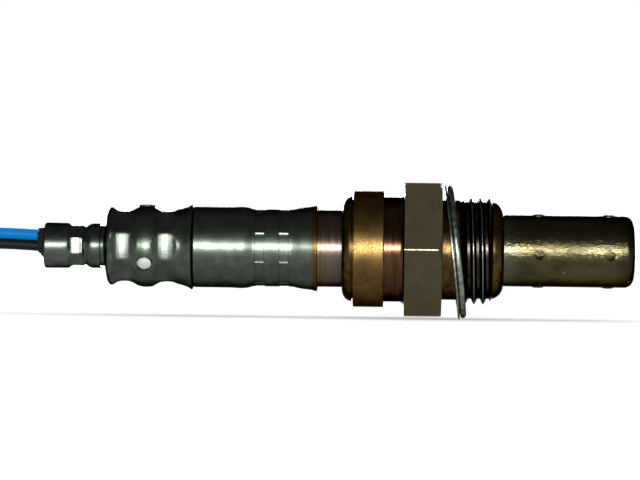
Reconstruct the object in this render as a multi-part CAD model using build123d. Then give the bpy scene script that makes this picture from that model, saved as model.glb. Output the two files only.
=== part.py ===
from build123d import *
import math
import os

os.makedirs("parts", exist_ok=True)

# Heated exhaust oxygen sensor with an M18 thread.
# Frame, in mm: X runs along the sensor from its lead to its gas end, and X = 0 is the hexagon's front
# face, where the gasket seats. The sensor's axis is Y = Z = 0, and +Z is up.

# ---------------------------------------------------------------------------------------------
# Driving dimensions
# ---------------------------------------------------------------------------------------------

THREAD_RADIUS = 9.0  # M18 x 1.5, drawn as its major diameter
THREAD_START = 4.3
THREAD_END = 8.0
NECK_RADIUS = 8.3
NOSE_END = 10.25
HEX_ACROSS_FLATS = 22.0
HEX_LENGTH = 6.17
HEX_CHAMFER_RADIUS = 11.6  # the cone's radius on the hexagon's front face
GROOVE_RADIUS = 8.73
GROOVE_REAR = -9.6
BOSS_RADIUS = 9.65
BOSS_REAR = -14.65
LIP_REAR = -16.5
BODY_BORE = 7.6
GAS_BORE = 5.2

GASKET_RADIUS = 11.2
GASKET_HOLE = 9.15
GASKET_TILT = 6.5
GASKET_PLACE = 2.33
FLOOR_Z = -11.5  # what the sensor lies on: it rests on the gasket's rim and on its lead
GASKET_HALF = 0.7

TIP_RADIUS = 5.95
TIP_WALL = 0.45
TIP_END = 32.2
TIP_HOLE_ROWS = (16.07, 27.68)
TIP_HOLE_RADIUS = 0.78
TIP_RIM = 0.2
TIP_HOLE_TURN = -7.4
INNER_TIP_RADIUS = 4.6
INNER_TIP_END = 30.4
COVER_FLANGE_RADIUS = 6.85

NECK_COVER_RADIUS = 6.4
NECK_COVER_WALL = 0.4
NECK_COVER_REAR = -38.0
FLANGE_FRONT = -14.6
FLANGE_REAR = -15.05

SLEEVE_RADIUS = 6.72
SLEEVE_WALL = 0.3
SLEEVE_SHOULDER = -41.33
SLEEVE_FRONT = -20.67
SLEEVE_TAIL_RADIUS = 4.95
SLEEVE_TAIL_REAR = -54.2
SLEEVE_BAND_RADIUS = 6.44  # the stretch that holds both crimps is drawn in to this radius
SLEEVE_CRIMPS = ((-30.9, -29.3), (-26.9, -25.3))  # rear and front edge of each crimp
SLEEVE_CRIMP_RADIUS = 6.34
SLEEVE_BAND_REAR = -31.2
SLEEVE_JAW_SWEEP = 42.0  # a jaw's face covers this angle, and a low ridge stays between two jaws

VENT_WALL = 0.4
VENT_REAR = -56.0
VENT_NECK_RADIUS = 3.3
VENT_NECK_REAR = -58.2
# Each crimp: its place, its flats' distance, half of a jaw's flat land, the radius of the jaw's edges.
VENT_CRIMPS = ((-52.75, 5.74, 0.7, 1.3), (-45.75, 5.78, 0.75, 1.5))
VENT_HOLE_PLACE = -49.15
VENT_HOLE_RADIUS = 1.2
VENT_HOLE_TURN = 25.4
FILTER_THICKNESS = 0.34

FERRULE_WALL = 0.35
FERRULE_REAR = -66.1
FERRULE_FRONT = -56.75
FERRULE_RADIUS = 3.78
FERRULE_CRIMP = (-60.7, 3.27, 0.8, 0.6)
FERRULE_LOCK_PLACE = -59.35
FERRULE_LOCK_RADIUS = 3.0

JAW_COUNT = 8
JAW_HEIGHT = 4.2
JAW_LENGTH = 8.0
CRIMP_SPREAD = 0.1  # how much wider a round crimp is inside than outside, at each end
SLIP = 0.02  # clearance between parts that touch

WIRE_RADIUS = 0.9
WIRE_BORE = 1.0  # the bundle's wires touch, so their bores run into each other
BORE_OFFSET = 2.3  # the separator's bores stand this far from the axis in Y and in Z
BORE_RADIUS = 1.05
SEPARATOR_FRONT = -24.5
SEPARATOR_REAR = -46.0
BARREL_REAR = -41.4
BARREL_FRONT = -38.4
STRIP_WIDTH = 1.4
STRIP_THICKNESS = 0.3

HEATER_RADIUS = 1.45
CUP_REAR = -17.5
CUP_NECK_RADIUS = 4.6
CUP_COLLAR_RADIUS = 6.9

SLEEVING_RADIUS = 2.5
LEAD_Z = FLOOR_Z + SLEEVING_RADIUS
TIE_Z = LEAD_Z + 0.85
TIE_WALL = 0.65
ROUTE_SHARE = 0.45  # an arc takes this share of the shorter run on each side of its corner


# ---------------------------------------------------------------------------------------------
# Building blocks
# ---------------------------------------------------------------------------------------------


def outline(start, *steps):
    """A closed outline in (x, radius). A step is a point, or two points for an arc through the first."""
    edges = []
    here = start
    for step in steps:
        if isinstance(step[0], tuple):
            through, end = step
            edges.append(ThreePointArc(here, through, end))
        else:
            end = step
            edges.append(Line(here, end))
        here = end
    if here != start:
        edges.append(Line(here, start))
    return make_face(Curve() + edges)


def turned(start, *steps):
    """The solid that an outline sweeps round the X axis."""
    return revolve(outline(start, *steps), Axis.X)


def along_x(x, radius, length):
    """A cylinder on the sensor's axis, from x towards +X."""
    return Pos(x + length / 2, 0, 0) * Rot(0, 90, 0) * Cylinder(radius, length)


def radial_pin(x, radius, reach, turn):
    """A pin that stands out from the axis at x. Turn 0 points at -Y, and 90 at +Z."""
    pin = Pos(0, 0, reach / 2) * Cylinder(radius, reach)
    return Pos(x, 0, 0) * Rot(90 - turn, 0, 0) * pin


def jaw_turns():
    """The directions from which a crimping tool's jaws close on a tube."""
    return [360 / JAW_COUNT * number for number in range(JAW_COUNT)]


def crimp_jaws(x, flat, land, edge):
    """Jaws that press flats on a tube: bars with a flat land and round edges, flat away from the axis."""
    section = RectangleRounded(2 * (land + edge), JAW_HEIGHT, edge)
    bar = Pos(x, 0, flat + JAW_HEIGHT / 2) * Rot(90, 0, 0) * extrude(section, JAW_LENGTH / 2, both=True)
    return [Rot(turn, 0, 0) * bar for turn in jaw_turns()]


def round_jaws(rear, front, radius):
    """Jaws whose faces are as round as the tube. They leave a low ridge where two of them meet."""
    over = radius + JAW_HEIGHT
    face = outline((rear, radius), (front, radius), (front, over), (rear, over))
    jaw = revolve(face, Axis.X, SLEEVE_JAW_SWEEP)
    return [Rot(turn - SLEEVE_JAW_SWEEP / 2, 0, 0) * jaw for turn in jaw_turns()]


def crimped_shell(outer, cavity, crimps, wall):
    """A drawn tube with flats pressed on it, and the same wall inside the flats."""
    for x, flat, land, edge in crimps:
        outer = outer - crimp_jaws(x, flat, land, edge)
        cavity = cavity - crimp_jaws(x, flat - wall, land, edge + wall)
    return outer - cavity


def corner_radii(points):
    """The largest arc that each corner's two runs allow."""
    radii = []
    for before, corner, after in zip(points, points[1:], points[2:]):
        arriving = Vector(*corner) - Vector(*before)
        leaving = Vector(*after) - Vector(*corner)
        half_turn = math.radians(arriving.get_angle(leaving)) / 2
        shorter = min(arriving.length, leaving.length)
        radii.append(ROUTE_SHARE * shorter / math.tan(half_turn))
    return radii


def cord_path(points):
    """Straight runs joined by tangent arcs."""
    return FilletPolyline(*points, radius=corner_radii(points))


def tube_along(points, radius):
    """A round tube along a cord's path."""
    path = cord_path(points)
    start = Plane(origin=path @ 0, z_dir=path % 0)
    return sweep(start * Circle(radius), path=path)


def cord(name, points, radius):
    """A cord's tube. Prints its corner radii, and its volume over its section times its length."""
    tube = tube_along(points, radius)
    length = cord_path(points).length
    ratio = tube.volume / (math.pi * radius**2 * length)
    shown = ", ".join(f"{value:.1f}" for value in corner_radii(points))
    print(f"{name}: length {length:.1f}, radii {shown}, volume ratio {ratio:.4f}")
    return tube


def rounded_bar(x, length, width, height, corner):
    """A block along +X from x, centred on Y and Z, with its long edges rounded."""
    section = Plane(origin=(x, 0, 0), x_dir=(0, 1, 0), z_dir=(1, 0, 0)) * RectangleRounded(
        width, height, corner
    )
    return extrude(section, length)


# ---------------------------------------------------------------------------------------------
# Body: housing, gasket and gas covers
# ---------------------------------------------------------------------------------------------


def make_hex_housing():
    """Forged hexagon body: rolled rear lip, boss, heat-caulked groove, hexagon, neck, thread and nose."""
    turned_body = turned(
        (LIP_REAR, 0),
        (LIP_REAR, 7.07),
        ((-16.0, 8.2), (-15.1, GROOVE_RADIUS)),
        (-14.9, GROOVE_RADIUS),
        (-14.9, 8.25),
        (BOSS_REAR, 8.25),
        (BOSS_REAR, BOSS_RADIUS - 0.15),
        (BOSS_REAR + 0.15, BOSS_RADIUS),
        (GROOVE_REAR - 0.15, BOSS_RADIUS),
        (GROOVE_REAR, BOSS_RADIUS - 0.15),
        (GROOVE_REAR, GROOVE_RADIUS),
        (-6.85, GROOVE_RADIUS),
        ((-6.45, 8.95), (-HEX_LENGTH, 9.5)),
        (-0.5, 9.5),
        (-0.5, NECK_RADIUS),
        (2.9, NECK_RADIUS),
        (THREAD_START, THREAD_RADIUS),
        (THREAD_END, THREAD_RADIUS),
        (8.4, 8.05),
        ((9.7, 7.35), (NOSE_END, 6.2)),
        (NOSE_END, 0),
    )
    side = Plane(origin=(-HEX_LENGTH, 0, 0), x_dir=(0, 1, 0), z_dir=(1, 0, 0))
    hexagon = extrude(side * RegularPolygon(HEX_ACROSS_FLATS / 2, 6, major_radius=False), HEX_LENGTH)
    chamfer_cone = turned(
        (-HEX_LENGTH, 0),
        (-HEX_LENGTH, 13.0),
        (-0.82, 13.0),
        (0, HEX_CHAMFER_RADIUS),
        (0, 0),
    )
    bore = turned(
        (LIP_REAR - 1, 0),
        (LIP_REAR - 1, 6.5),
        (FLANGE_REAR - SLIP, 6.5),
        (FLANGE_REAR - SLIP, BODY_BORE),
        (-3.4, BODY_BORE),
        (-1.0, GAS_BORE),
        (8.5, GAS_BORE),
        (8.5, COVER_FLANGE_RADIUS + 0.05),
        (9.4, COVER_FLANGE_RADIUS + 0.05),
        (9.4, TIP_RADIUS + 0.05),
        (NOSE_END + 1, TIP_RADIUS + 0.05),
        (NOSE_END + 1, 0),
    )
    return turned_body + (hexagon & chamfer_cone) - bore


def make_seat_gasket():
    """Crush gasket folded from one steel strip: a thin flange, a gap and a rolled band, with three claws."""
    ring = turned(
        (-GASKET_HALF, GASKET_HOLE + 0.15),
        (-GASKET_HALF, GASKET_RADIUS),
        (-0.35, GASKET_RADIUS - 0.05),
        (-0.1, 9.75),
        (0.1, 9.75),
        (-0.05, 10.7),
        ((0.35, 11.05), (GASKET_HALF, 10.6)),
        (GASKET_HALF, GASKET_HOLE + 0.15),
        (GASKET_HALF - 0.15, GASKET_HOLE),
        (0.15 - GASKET_HALF, GASKET_HOLE),
    )
    claw = Pos(0.15, 0, GASKET_HOLE - 0.02) * Box(0.45, 2.2, 0.75)
    ring = ring + [Rot(turn, 0, 0) * claw for turn in (60, 180, 300)]
    tilt = math.radians(GASKET_TILT)
    lowest = GASKET_RADIUS * math.cos(tilt) + GASKET_HALF * math.sin(tilt)
    return Pos(GASKET_PLACE, 0, FLOOR_Z + lowest) * Rot(0, -GASKET_TILT, 0) * ring


def tip_hole_turns(turn):
    """The directions of four holes round a gas cover."""
    return [turn + 90 * number for number in range(4)]


def make_outer_tip_cover():
    """Drawn gas cover: flange under the nose, domed end, two rows of pierced holes with raised rims."""
    inside = TIP_RADIUS - TIP_WALL
    shell = turned(
        (8.92, 0),
        (8.92, COVER_FLANGE_RADIUS),
        (9.38, COVER_FLANGE_RADIUS),
        (9.38, TIP_RADIUS),
        (TIP_END - 1.75, TIP_RADIUS),
        ((TIP_END - 0.78, TIP_RADIUS - 0.42), (TIP_END - 0.3, TIP_RADIUS - 1.4)),
        (TIP_END, 2.2),
        (TIP_END, 0),
    )
    rims = []
    holes = []
    for x in TIP_HOLE_ROWS:
        for turn in tip_hole_turns(TIP_HOLE_TURN):
            rims.append(radial_pin(x, TIP_HOLE_RADIUS + TIP_RIM, TIP_RADIUS + 0.12, turn))
            holes.append(radial_pin(x, TIP_HOLE_RADIUS, TIP_RADIUS + 2, turn))
    cavity = turned(
        (8.0, 0),
        (8.0, inside),
        (TIP_END - 1.8, inside),
        ((TIP_END - 1.13, inside - 0.28), (TIP_END - 0.77, inside - 0.95)),
        (TIP_END - TIP_WALL, 2.2),
        (TIP_END - TIP_WALL, 0),
    )
    return shell + rims - cavity - holes


def make_inner_tip_cover():
    """Second drawn cover inside the first, its holes staggered from the outer ones."""
    inside = INNER_TIP_RADIUS - 0.4
    shell = turned(
        (8.52, 0),
        (8.52, COVER_FLANGE_RADIUS),
        (8.9, COVER_FLANGE_RADIUS),
        (8.9, INNER_TIP_RADIUS),
        (INNER_TIP_END - 1.2, INNER_TIP_RADIUS),
        ((INNER_TIP_END - 0.35, INNER_TIP_RADIUS - 0.35), (INNER_TIP_END, INNER_TIP_RADIUS - 1.2)),
        (INNER_TIP_END, 0),
    )
    cavity = turned(
        (8.0, 0),
        (8.0, inside),
        (INNER_TIP_END - 1.2, inside),
        ((INNER_TIP_END - 0.63, inside - 0.23), (INNER_TIP_END - 0.4, inside - 0.8)),
        (INNER_TIP_END - 0.4, 0),
    )
    holes = []
    for x in (12.6, 22.4):
        for turn in tip_hole_turns(TIP_HOLE_TURN + 45):
            holes.append(radial_pin(x, 0.8, INNER_TIP_RADIUS + 1, turn))
    return shell - cavity - holes


# ---------------------------------------------------------------------------------------------
# Sensing element and its seals
# ---------------------------------------------------------------------------------------------


def make_zirconia_cup():
    """Closed ceramic thimble with a coned collar that seats in the housing."""
    outside = turned(
        (CUP_REAR, 0),
        (CUP_REAR, CUP_NECK_RADIUS),
        (-5.4, CUP_NECK_RADIUS),
        (-5.4, CUP_COLLAR_RADIUS),
        (-3.266, CUP_COLLAR_RADIUS),
        (-1.0, 4.634),
        (3.0, 3.7),
        (23.2, 2.75),
        ((25.1, 2.0), (26.0, 0.5)),
        (26.0, 0),
    )
    bore = turned(
        (CUP_REAR - 1, 0),
        (CUP_REAR - 1, 2.05),
        (0.0, 2.0),
        (22.9, 1.7),
        ((24.0, 1.3), (24.6, 0.4)),
        (24.6, 0),
    )
    return outside - bore


def make_heater_rod():
    """Ceramic heater rod with a rounded tip."""
    return turned(
        (-27.5, 0),
        (-27.5, HEATER_RADIUS - 0.15),
        (-27.35, HEATER_RADIUS),
        (22.6, HEATER_RADIUS),
        ((23.4, 1.05), (23.7, 0.4)),
        (23.7, 0),
    )


def make_cup_seat_washer():
    """Coned metal washer between the cup's collar and the housing's seat."""
    return turned(
        (-1.0 - 0.5 - 0.03, GAS_BORE + 0.5),
        (-1.0 - 1.55 - 0.03, GAS_BORE + 1.55),
        (-1.566 - 1.55 + 0.03, GAS_BORE + 1.55),
        (-1.566 - 0.5 + 0.03, GAS_BORE + 0.5),
    )


def make_talc_seal():
    """Pressed talc ring behind the collar."""
    return turned((-10.3, 4.65), (-10.3, 7.55), (-5.45, 7.55), (-5.45, 4.65))


def make_packing_insulator():
    """Alumina ring that presses the talc."""
    return turned(
        (-13.6, 4.9),
        (-13.6, 7.2),
        (-13.3, 7.5),
        (-10.35, 7.5),
        (-10.35, 4.7),
        (-13.4, 4.7),
    )


def make_caulking_ring():
    """Soft wire ring squeezed between the packing insulator and the neck cover's flange."""
    return Pos(-14.1, 0, 0) * Rot(0, 90, 0) * Torus(7.02, 0.47)


# ---------------------------------------------------------------------------------------------
# Covers behind the housing
# ---------------------------------------------------------------------------------------------


def band_steps(band, crimp, wider):
    """The outline of the drawn-in stretch with its two crimps, each wider at both ends."""
    steps = [(SLEEVE_BAND_REAR, band)]
    for rear, front in SLEEVE_CRIMPS:
        low, high = rear - wider, front + wider
        steps += [(low, band), (low, crimp), (high, crimp), (high, band)]
    return steps


def make_neck_cover():
    """Flanged tube under the housing's lip, pressed to the main sleeve by the same crimps."""
    grown = SLEEVE_WALL + SLIP
    outside = NECK_COVER_RADIUS
    inside = NECK_COVER_RADIUS - NECK_COVER_WALL
    band = SLEEVE_BAND_RADIUS - grown
    crimp = SLEEVE_CRIMP_RADIUS - grown
    tube = turned(
        (NECK_COVER_REAR, 0),
        (NECK_COVER_REAR, outside),
        (-32.6, outside),
        *band_steps(band, crimp, CRIMP_SPREAD + SLIP),
        (-24.9, band),
        (-24.2, 6.22),
        (-23.2, outside),
        (FLANGE_REAR, outside),
        (FLANGE_REAR, 7.5),
        (FLANGE_FRONT, 7.5),
        (FLANGE_FRONT, 0),
    )
    cavity = turned(
        (NECK_COVER_REAR - 1, 0),
        (NECK_COVER_REAR - 1, inside),
        (-32.4, inside),
        (-31.2, crimp - NECK_COVER_WALL),
        (-24.7, crimp - NECK_COVER_WALL),
        (-23.0, inside),
        (FLANGE_REAR - 0.1, inside),
        ((FLANGE_REAR + 0.22, inside + 0.12), (FLANGE_FRONT, inside + 0.5)),
        (FLANGE_FRONT + 1, inside + 0.5),
        (FLANGE_FRONT + 1, 0),
    )
    return tube - cavity


def sleeve_solid(inset, *middle):
    """The main sleeve's outside, or its cavity with inset as the wall. The middle is its crimped band."""
    rear = SLEEVE_TAIL_REAR - inset
    tail = SLEEVE_TAIL_RADIUS - inset
    shoulder = SLEEVE_SHOULDER + inset
    body = SLEEVE_RADIUS - inset
    front = SLEEVE_FRONT + inset
    return turned(
        (rear, 0),
        (rear, tail),
        (shoulder - 0.35, tail),
        ((shoulder - 0.1, tail + 0.1), (shoulder, tail + 0.35)),
        (shoulder, body - 0.45),
        ((shoulder + 0.13, body - 0.13), (shoulder + 0.45, body)),
        (-34.9, body),
        (-33.6, body + 0.08),
        (-32.5, body + 0.03),
        *middle,
        (-25.0, SLEEVE_BAND_RADIUS - inset),
        (-24.2, body - 0.16),
        (-22.9, body + 0.1),
        (-21.9, body + 0.19),
        (-21.2, body + 0.33),
        (front, body + 0.48 - inset / 2),
        (front, 0),
    )


def make_main_sleeve():
    """Stepped sleeve: vented tail under the filter, round shoulder, drawn-in band with two crimps, flare."""
    inner_band = SLEEVE_BAND_RADIUS - SLEEVE_WALL
    inner_crimp = SLEEVE_CRIMP_RADIUS - SLEEVE_WALL
    sleeve = sleeve_solid(0, (SLEEVE_BAND_REAR, SLEEVE_BAND_RADIUS))
    for rear, front in SLEEVE_CRIMPS:
        sleeve = sleeve - round_jaws(rear, front, SLEEVE_CRIMP_RADIUS)
    sleeve = sleeve - sleeve_solid(SLEEVE_WALL, *band_steps(inner_band, inner_crimp, CRIMP_SPREAD))
    vents = [radial_pin(VENT_HOLE_PLACE, 0.8, SLEEVE_TAIL_RADIUS + 1, turn) for turn in range(0, 360, 60)]
    return sleeve - vents


def vent_solid(inset):
    """The vent cover's outside, or its cavity where inset is the wall."""
    neck_end = VENT_NECK_REAR - inset
    neck = VENT_NECK_RADIUS - inset
    end_wall = VENT_REAR + inset
    return turned(
        (neck_end, 0),
        (neck_end, neck),
        (end_wall - 0.25, neck),
        ((end_wall - 0.07, neck + 0.07), (end_wall, neck + 0.25)),
        (end_wall + 0.38, 5.7 - inset),
        ((end_wall + 0.72, 6.35 - inset), (-54.67, 6.7 - inset)),
        (-53.9, 6.45 - inset),
        (-51.5, 6.15 - inset),
        ((-48.9, 6.78 - inset), (-46.6, 6.1 - inset)),
        ((-44.9, 5.98 - inset), (-43.4, 6.25 - inset)),
        (-42.25, 6.7 - inset),
        (-41.5 + inset, 7.15 - inset),
        (-41.5 + inset, 0),
    )


def make_vent_cover():
    """Drawn cover that clamps the filter: neck, coned end, two eight-jaw crimps, bulge with vents, flare."""
    cover = crimped_shell(vent_solid(0), vent_solid(VENT_WALL), VENT_CRIMPS, VENT_WALL)
    turns = [VENT_HOLE_TURN * -1 + 120 * number for number in range(3)]
    rims = [radial_pin(VENT_HOLE_PLACE, VENT_HOLE_RADIUS + 0.3, 6.9, turn) for turn in turns]
    core = along_x(VENT_HOLE_PLACE - 2, 6.55, 4)
    holes = [radial_pin(VENT_HOLE_PLACE, VENT_HOLE_RADIUS, 8.0, turn) for turn in turns]
    for rim, hole in zip(rims, holes):
        cover = cover + (rim - core) - hole
    return cover


def make_vent_filter():
    """PTFE band over the sleeve's vented tail, pinched by both crimps of the vent cover."""
    inner = SLEEVE_TAIL_RADIUS + SLIP
    outer = inner + FILTER_THICKNESS
    return turned((-53.2, inner), (-53.2, outer), (-45.0, outer), (-45.0, inner))


def ferrule_solid(inset):
    """The bush ferrule's outside, or its cavity where inset is the wall."""
    body = FERRULE_RADIUS - inset
    lock = FERRULE_LOCK_RADIUS - inset
    front = FERRULE_FRONT + inset
    rear = FERRULE_REAR + inset if inset else FERRULE_REAR
    return turned(
        (rear, 0),
        (rear, 3.52 - inset),
        ((rear + 0.1, body - 0.06), (rear + 0.4, body)),
        (-62.3, body),
        ((-62.05, body - 0.05), (-61.8, body - 0.2)),
        (-59.75, body - 0.25),
        (FERRULE_LOCK_PLACE, lock),
        (-58.95, 3.32 - inset),
        ((-58.5, 3.62 - inset), (-57.9, 3.72 - inset)),
        (front, 3.7 - inset),
        (front, 0),
    )


def make_bush_ferrule():
    """Ferrule round the bush: rolled rim, eight-jaw crimp, lock groove and a bell over the cover's neck."""
    mouth = along_x(FERRULE_REAR - 1, 3.1, 2)
    cavity = ferrule_solid(FERRULE_WALL) + along_x(FERRULE_FRONT - 0.6, 3.35, 1.5)
    return crimped_shell(ferrule_solid(0), cavity, [FERRULE_CRIMP], FERRULE_WALL) - mouth


# ---------------------------------------------------------------------------------------------
# Wires, bush and separator
# ---------------------------------------------------------------------------------------------

# Each wire: the separator bore it comes from (Y, Z sign), and its place in the bundle (Y, Z).
WIRES = {
    "wire_blue": ((-1, 1), (-1.19, 0.87)),
    "wire_black_1": ((-1, -1), (-0.6, -0.87)),
    "wire_white": ((1, 1), (0.64, 0.87)),
    "wire_black_2": ((1, -1), (1.24, -0.87)),
}
# The bundle's middle, from the end of the bush to the sleeving's mouth.
BUNDLE_ROUTE = (
    (-57.0, 0.0, -0.15),
    (-68.0, 0.0, 0.93),
    (-79.0, 0.2, 1.15),
    (-97.0, 0.0, -8.4),
    (-107.0, 0.0, -8.4),
)
# Along the slope the upper wires stand back as well as up, which keeps them a diameter apart.
SLOPE_SHIFT = -0.25


def wire_route(name):
    """A wire's corners, from its terminal to the mouth of the sleeving."""
    (side, level), (across, above) = WIRES[name]
    bore = (side * BORE_OFFSET, level * BORE_OFFSET)
    route = [(BARREL_REAR - 0.05, *bore), (SEPARATOR_REAR - 1.2, *bore)]
    for number, (x, y, z) in enumerate(BUNDLE_ROUTE):
        shift = SLOPE_SHIFT * above / abs(above) if number in (2, 3) else 0
        route.append((x + shift, y + across, z + above))
    return route


def bundle_duct(start, end):
    """What the four wires pass through from start to end: a bore for each, and the gap between them."""
    start = Vector(*start)
    aim = Vector(*end) - start
    bores = [Pos(across, above) * Circle(WIRE_BORE) for separator_bore, (across, above) in WIRES.values()]
    section = Plane(origin=start, x_dir=(0, 1, 0), z_dir=(1, 0, 0)) * (Circle(0.6) + bores)
    return extrude(section, aim.length, dir=aim.normalized())


def make_wire_bush():
    """Rubber bush crimped in the ferrule, with a coned end drawn up by the wires and four wire bores."""
    gap = FERRULE_WALL + SLIP
    x, flat, land, edge = FERRULE_CRIMP
    body = ferrule_solid(gap) & along_x(FERRULE_REAR + 0.36, 5, 6.1)
    body = body - crimp_jaws(x, flat - gap, land, edge + gap)
    rim = Plane(origin=(FERRULE_REAR + 0.5, 0, 0), x_dir=(0, 1, 0), z_dir=(-1, 0, 0))
    end = Plane(origin=(FERRULE_REAR - 1.1, 0, 0.85), x_dir=(0, 1, 0), z_dir=(-1, 0, 0))
    cone = loft([rim * Circle(3.05), end * RectangleRounded(4.5, 3.9, 1.3)])
    leaving, rising = [Vector(*point) for point in BUNDLE_ROUTE[:2]]
    front = leaving + (rising - leaving) * 0.15
    rear = rising + (rising - leaving) * 0.05
    return body + cone - bundle_duct(front, rear)


def make_lead_insulator():
    """Ceramic separator: four terminal bores, a recess for the heater and a flange on the neck cover."""
    body = turned(
        (SEPARATOR_REAR, 0),
        (SEPARATOR_REAR, 4.3),
        (SEPARATOR_REAR + 0.3, 4.6),
        (-39.6, 4.6),
        (-39.6, 6.1),
        (-39.35, 6.35),
        (NECK_COVER_REAR - SLIP, 6.35),
        (NECK_COVER_REAR - SLIP, 5.5),
        (SEPARATOR_FRONT - 0.3, 5.5),
        (SEPARATOR_FRONT, 5.2),
        (SEPARATOR_FRONT, 0),
    )
    length = SEPARATOR_FRONT - SEPARATOR_REAR + 2
    bore = along_x(SEPARATOR_REAR - 1, BORE_RADIUS, length)
    bores = [Pos(0, y, z) * bore for y in (-BORE_OFFSET, BORE_OFFSET) for z in (-BORE_OFFSET, BORE_OFFSET)]
    recess = along_x(-28.5, HEATER_RADIUS + 0.3, 5)
    return body - bores - recess


def make_disc_spring():
    """Coned spring washer between the separator's flange and the main sleeve's shoulder."""
    return turned((-40.95, 4.75), (-40.95, 5.05), (-39.68, 6.15), (-39.68, 5.75))


def terminal_strip(turn, front):
    """A crimp barrel round a wire's core and a flat strip to front, in the separator bore at that turn."""
    reach = BORE_OFFSET * math.sqrt(2)
    barrel = along_x(BARREL_REAR, 0.98, BARREL_FRONT - BARREL_REAR)
    barrel = barrel - along_x(BARREL_REAR - 1, 0.66, BARREL_FRONT - BARREL_REAR)
    length = front - BARREL_FRONT + 0.6
    strip = Pos(BARREL_FRONT - 0.6 + length / 2, 0, 0) * Box(length, STRIP_WIDTH, STRIP_THICKNESS)
    return Rot(turn, 0, 0) * Pos(0, 0, reach) * (barrel + strip)


def wire_turn(name):
    """The turn about X that brings +Z to the wire's separator bore."""
    side, level = WIRES[name][0]
    return math.degrees(math.atan2(-side, level))


def make_signal_contact():
    """Inner contact: a slit sleeve round the heater in the cup's mouth, a flange, strip and crimp barrel."""
    turn = wire_turn("wire_blue")
    ring = turned((-18.05, 1.5), (-18.05, 3.5), (-17.7, 3.5), (-17.7, 1.95), (-11.0, 1.9), (-11.0, 1.5))
    slit = Pos(-14, 0, -3) * Box(12, 0.7, 6)
    strip = terminal_strip(turn, -17.75)
    return (ring - Rot(turn, 0, 0) * slit) + strip


def make_ground_contact():
    """Outer contact: a slit sleeve that grips the cup's rear end, a bent leg, strip and crimp barrel."""
    turn = wire_turn("wire_white")
    ring = turned((-17.3, 4.62), (-17.3, 4.95), (-13.8, 4.95), (-13.8, 4.62))
    slit = Pos(-16, 0, -5) * Box(8, 2.0, 4)
    leg = Pos(-18.9, 0, 4.02) * Box(STRIP_THICKNESS, STRIP_WIDTH, 1.84)
    tab = Pos(-18.05, 0, 4.79) * Box(2.0, STRIP_WIDTH, STRIP_THICKNESS)
    return Rot(turn, 0, 0) * (ring - slit + leg + tab) + terminal_strip(turn, -18.75)


def make_heater_terminal(name):
    """Heater terminal: crimp barrel, strip, and a foot bent in to press on the heater's end pad."""
    turn = wire_turn(name)
    leg = Pos(-21.85, 0, 2.45) * Box(STRIP_THICKNESS, STRIP_WIDTH, 1.9)
    foot = Pos(-21.1, 0, 1.65) * Box(1.8, STRIP_WIDTH - 0.2, STRIP_THICKNESS)
    return Rot(turn, 0, 0) * (leg + foot) + terminal_strip(turn, -21.7)


# ---------------------------------------------------------------------------------------------
# Lead: sleeving, hank, tie and connector, all lying on the floor
# ---------------------------------------------------------------------------------------------

LEAD_RUN_ROUTE = (
    (-107.0, 0.0, -8.4),
    (-119.0, 0.0, -8.4),
    (-131.0, -2.4, LEAD_Z),
    (-143.0, -2.8, TIE_Z),
    (-150.0, -2.8, TIE_Z),
)
LEAD_HANK_ROUTE = (
    (-150.0, -2.8, TIE_Z),
    (-158.5, -2.8, TIE_Z),
    (-171.0, -4.9, LEAD_Z),
    (-187.0, -12.8, LEAD_Z),
    (-204.5, -19.4, LEAD_Z),
    (-219.5, -14.6, LEAD_Z),
    (-226.0, -0.2, LEAD_Z),
    (-219.8, 14.4, LEAD_Z),
    (-204.8, 19.6, LEAD_Z),
    (-187.0, 13.0, LEAD_Z),
    (-171.2, 4.9, LEAD_Z),
    (-158.5, 2.8, TIE_Z),
    (-150.0, 2.8, TIE_Z),
)
LEAD_TAIL_ROUTE = (
    (-150.0, 2.8, TIE_Z),
    (-141.5, 2.8, TIE_Z),
    (-131.0, 5.9, -7.6),
    (-121.0, 11.0, -6.3),
    (-112.2, 13.0, -5.6),
)
CONNECTOR_MIDDLE = (13.0, -5.5)  # Y and Z of the connector's axis
CONNECTOR_REAR = -111.5
CONNECTOR_LENGTH = 23.0
CONNECTOR_WIDTH = 16.0
CONNECTOR_HEIGHT = 12.0
NOSE_LENGTH = 7.0
NOSE_WIDTH = 12.6
NOSE_HEIGHT = 8.4
CAVITY_PITCH_Y = 5.0
CAVITY_PITCH_Z = 3.8
CAVITY_PLACES = [
    (y, z)
    for y in (-CAVITY_PITCH_Y / 2, CAVITY_PITCH_Y / 2)
    for z in (-CAVITY_PITCH_Z / 2, CAVITY_PITCH_Z / 2)
]


def at_connector(shape):
    """Moves a shape drawn about the X axis to the connector's axis."""
    return Pos(0, *CONNECTOR_MIDDLE) * shape


def make_lead(name, route):
    """A stretch of the sleeving. A hank's stretch ends square in the tie, where the next one starts."""
    return cord(name, route, SLEEVING_RADIUS)


def make_sleeve_end_band():
    """Shrink band that closes the sleeving on the four wires."""
    outside = turned(
        (-5.0, 0),
        (-5.0, 3.0),
        (2.0, 3.0),
        ((3.2, 2.92), (4.2, 2.7)),
        (4.2, 0),
    )
    mouth = Vector(*LEAD_RUN_ROUTE[0])
    band = Pos(mouth) * outside - tube_along(LEAD_RUN_ROUTE, SLEEVING_RADIUS + SLIP)
    return band - bundle_duct(mouth - (1, 0, 0), mouth + (6, 0, 0))


def make_hank_tie():
    """Flat band round the two runs of the folded lead."""
    section = Plane(origin=(-152.5, 0, TIE_Z), x_dir=(0, 1, 0), z_dir=(1, 0, 0))
    inside = 2 * (SLEEVING_RADIUS + SLIP)
    span = 2 * LEAD_TAIL_ROUTE[0][1]
    outer = extrude(section * SlotCenterToCenter(span, inside + 2 * TIE_WALL), 5)
    return outer - extrude(section * SlotCenterToCenter(span, inside), 5)


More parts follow.
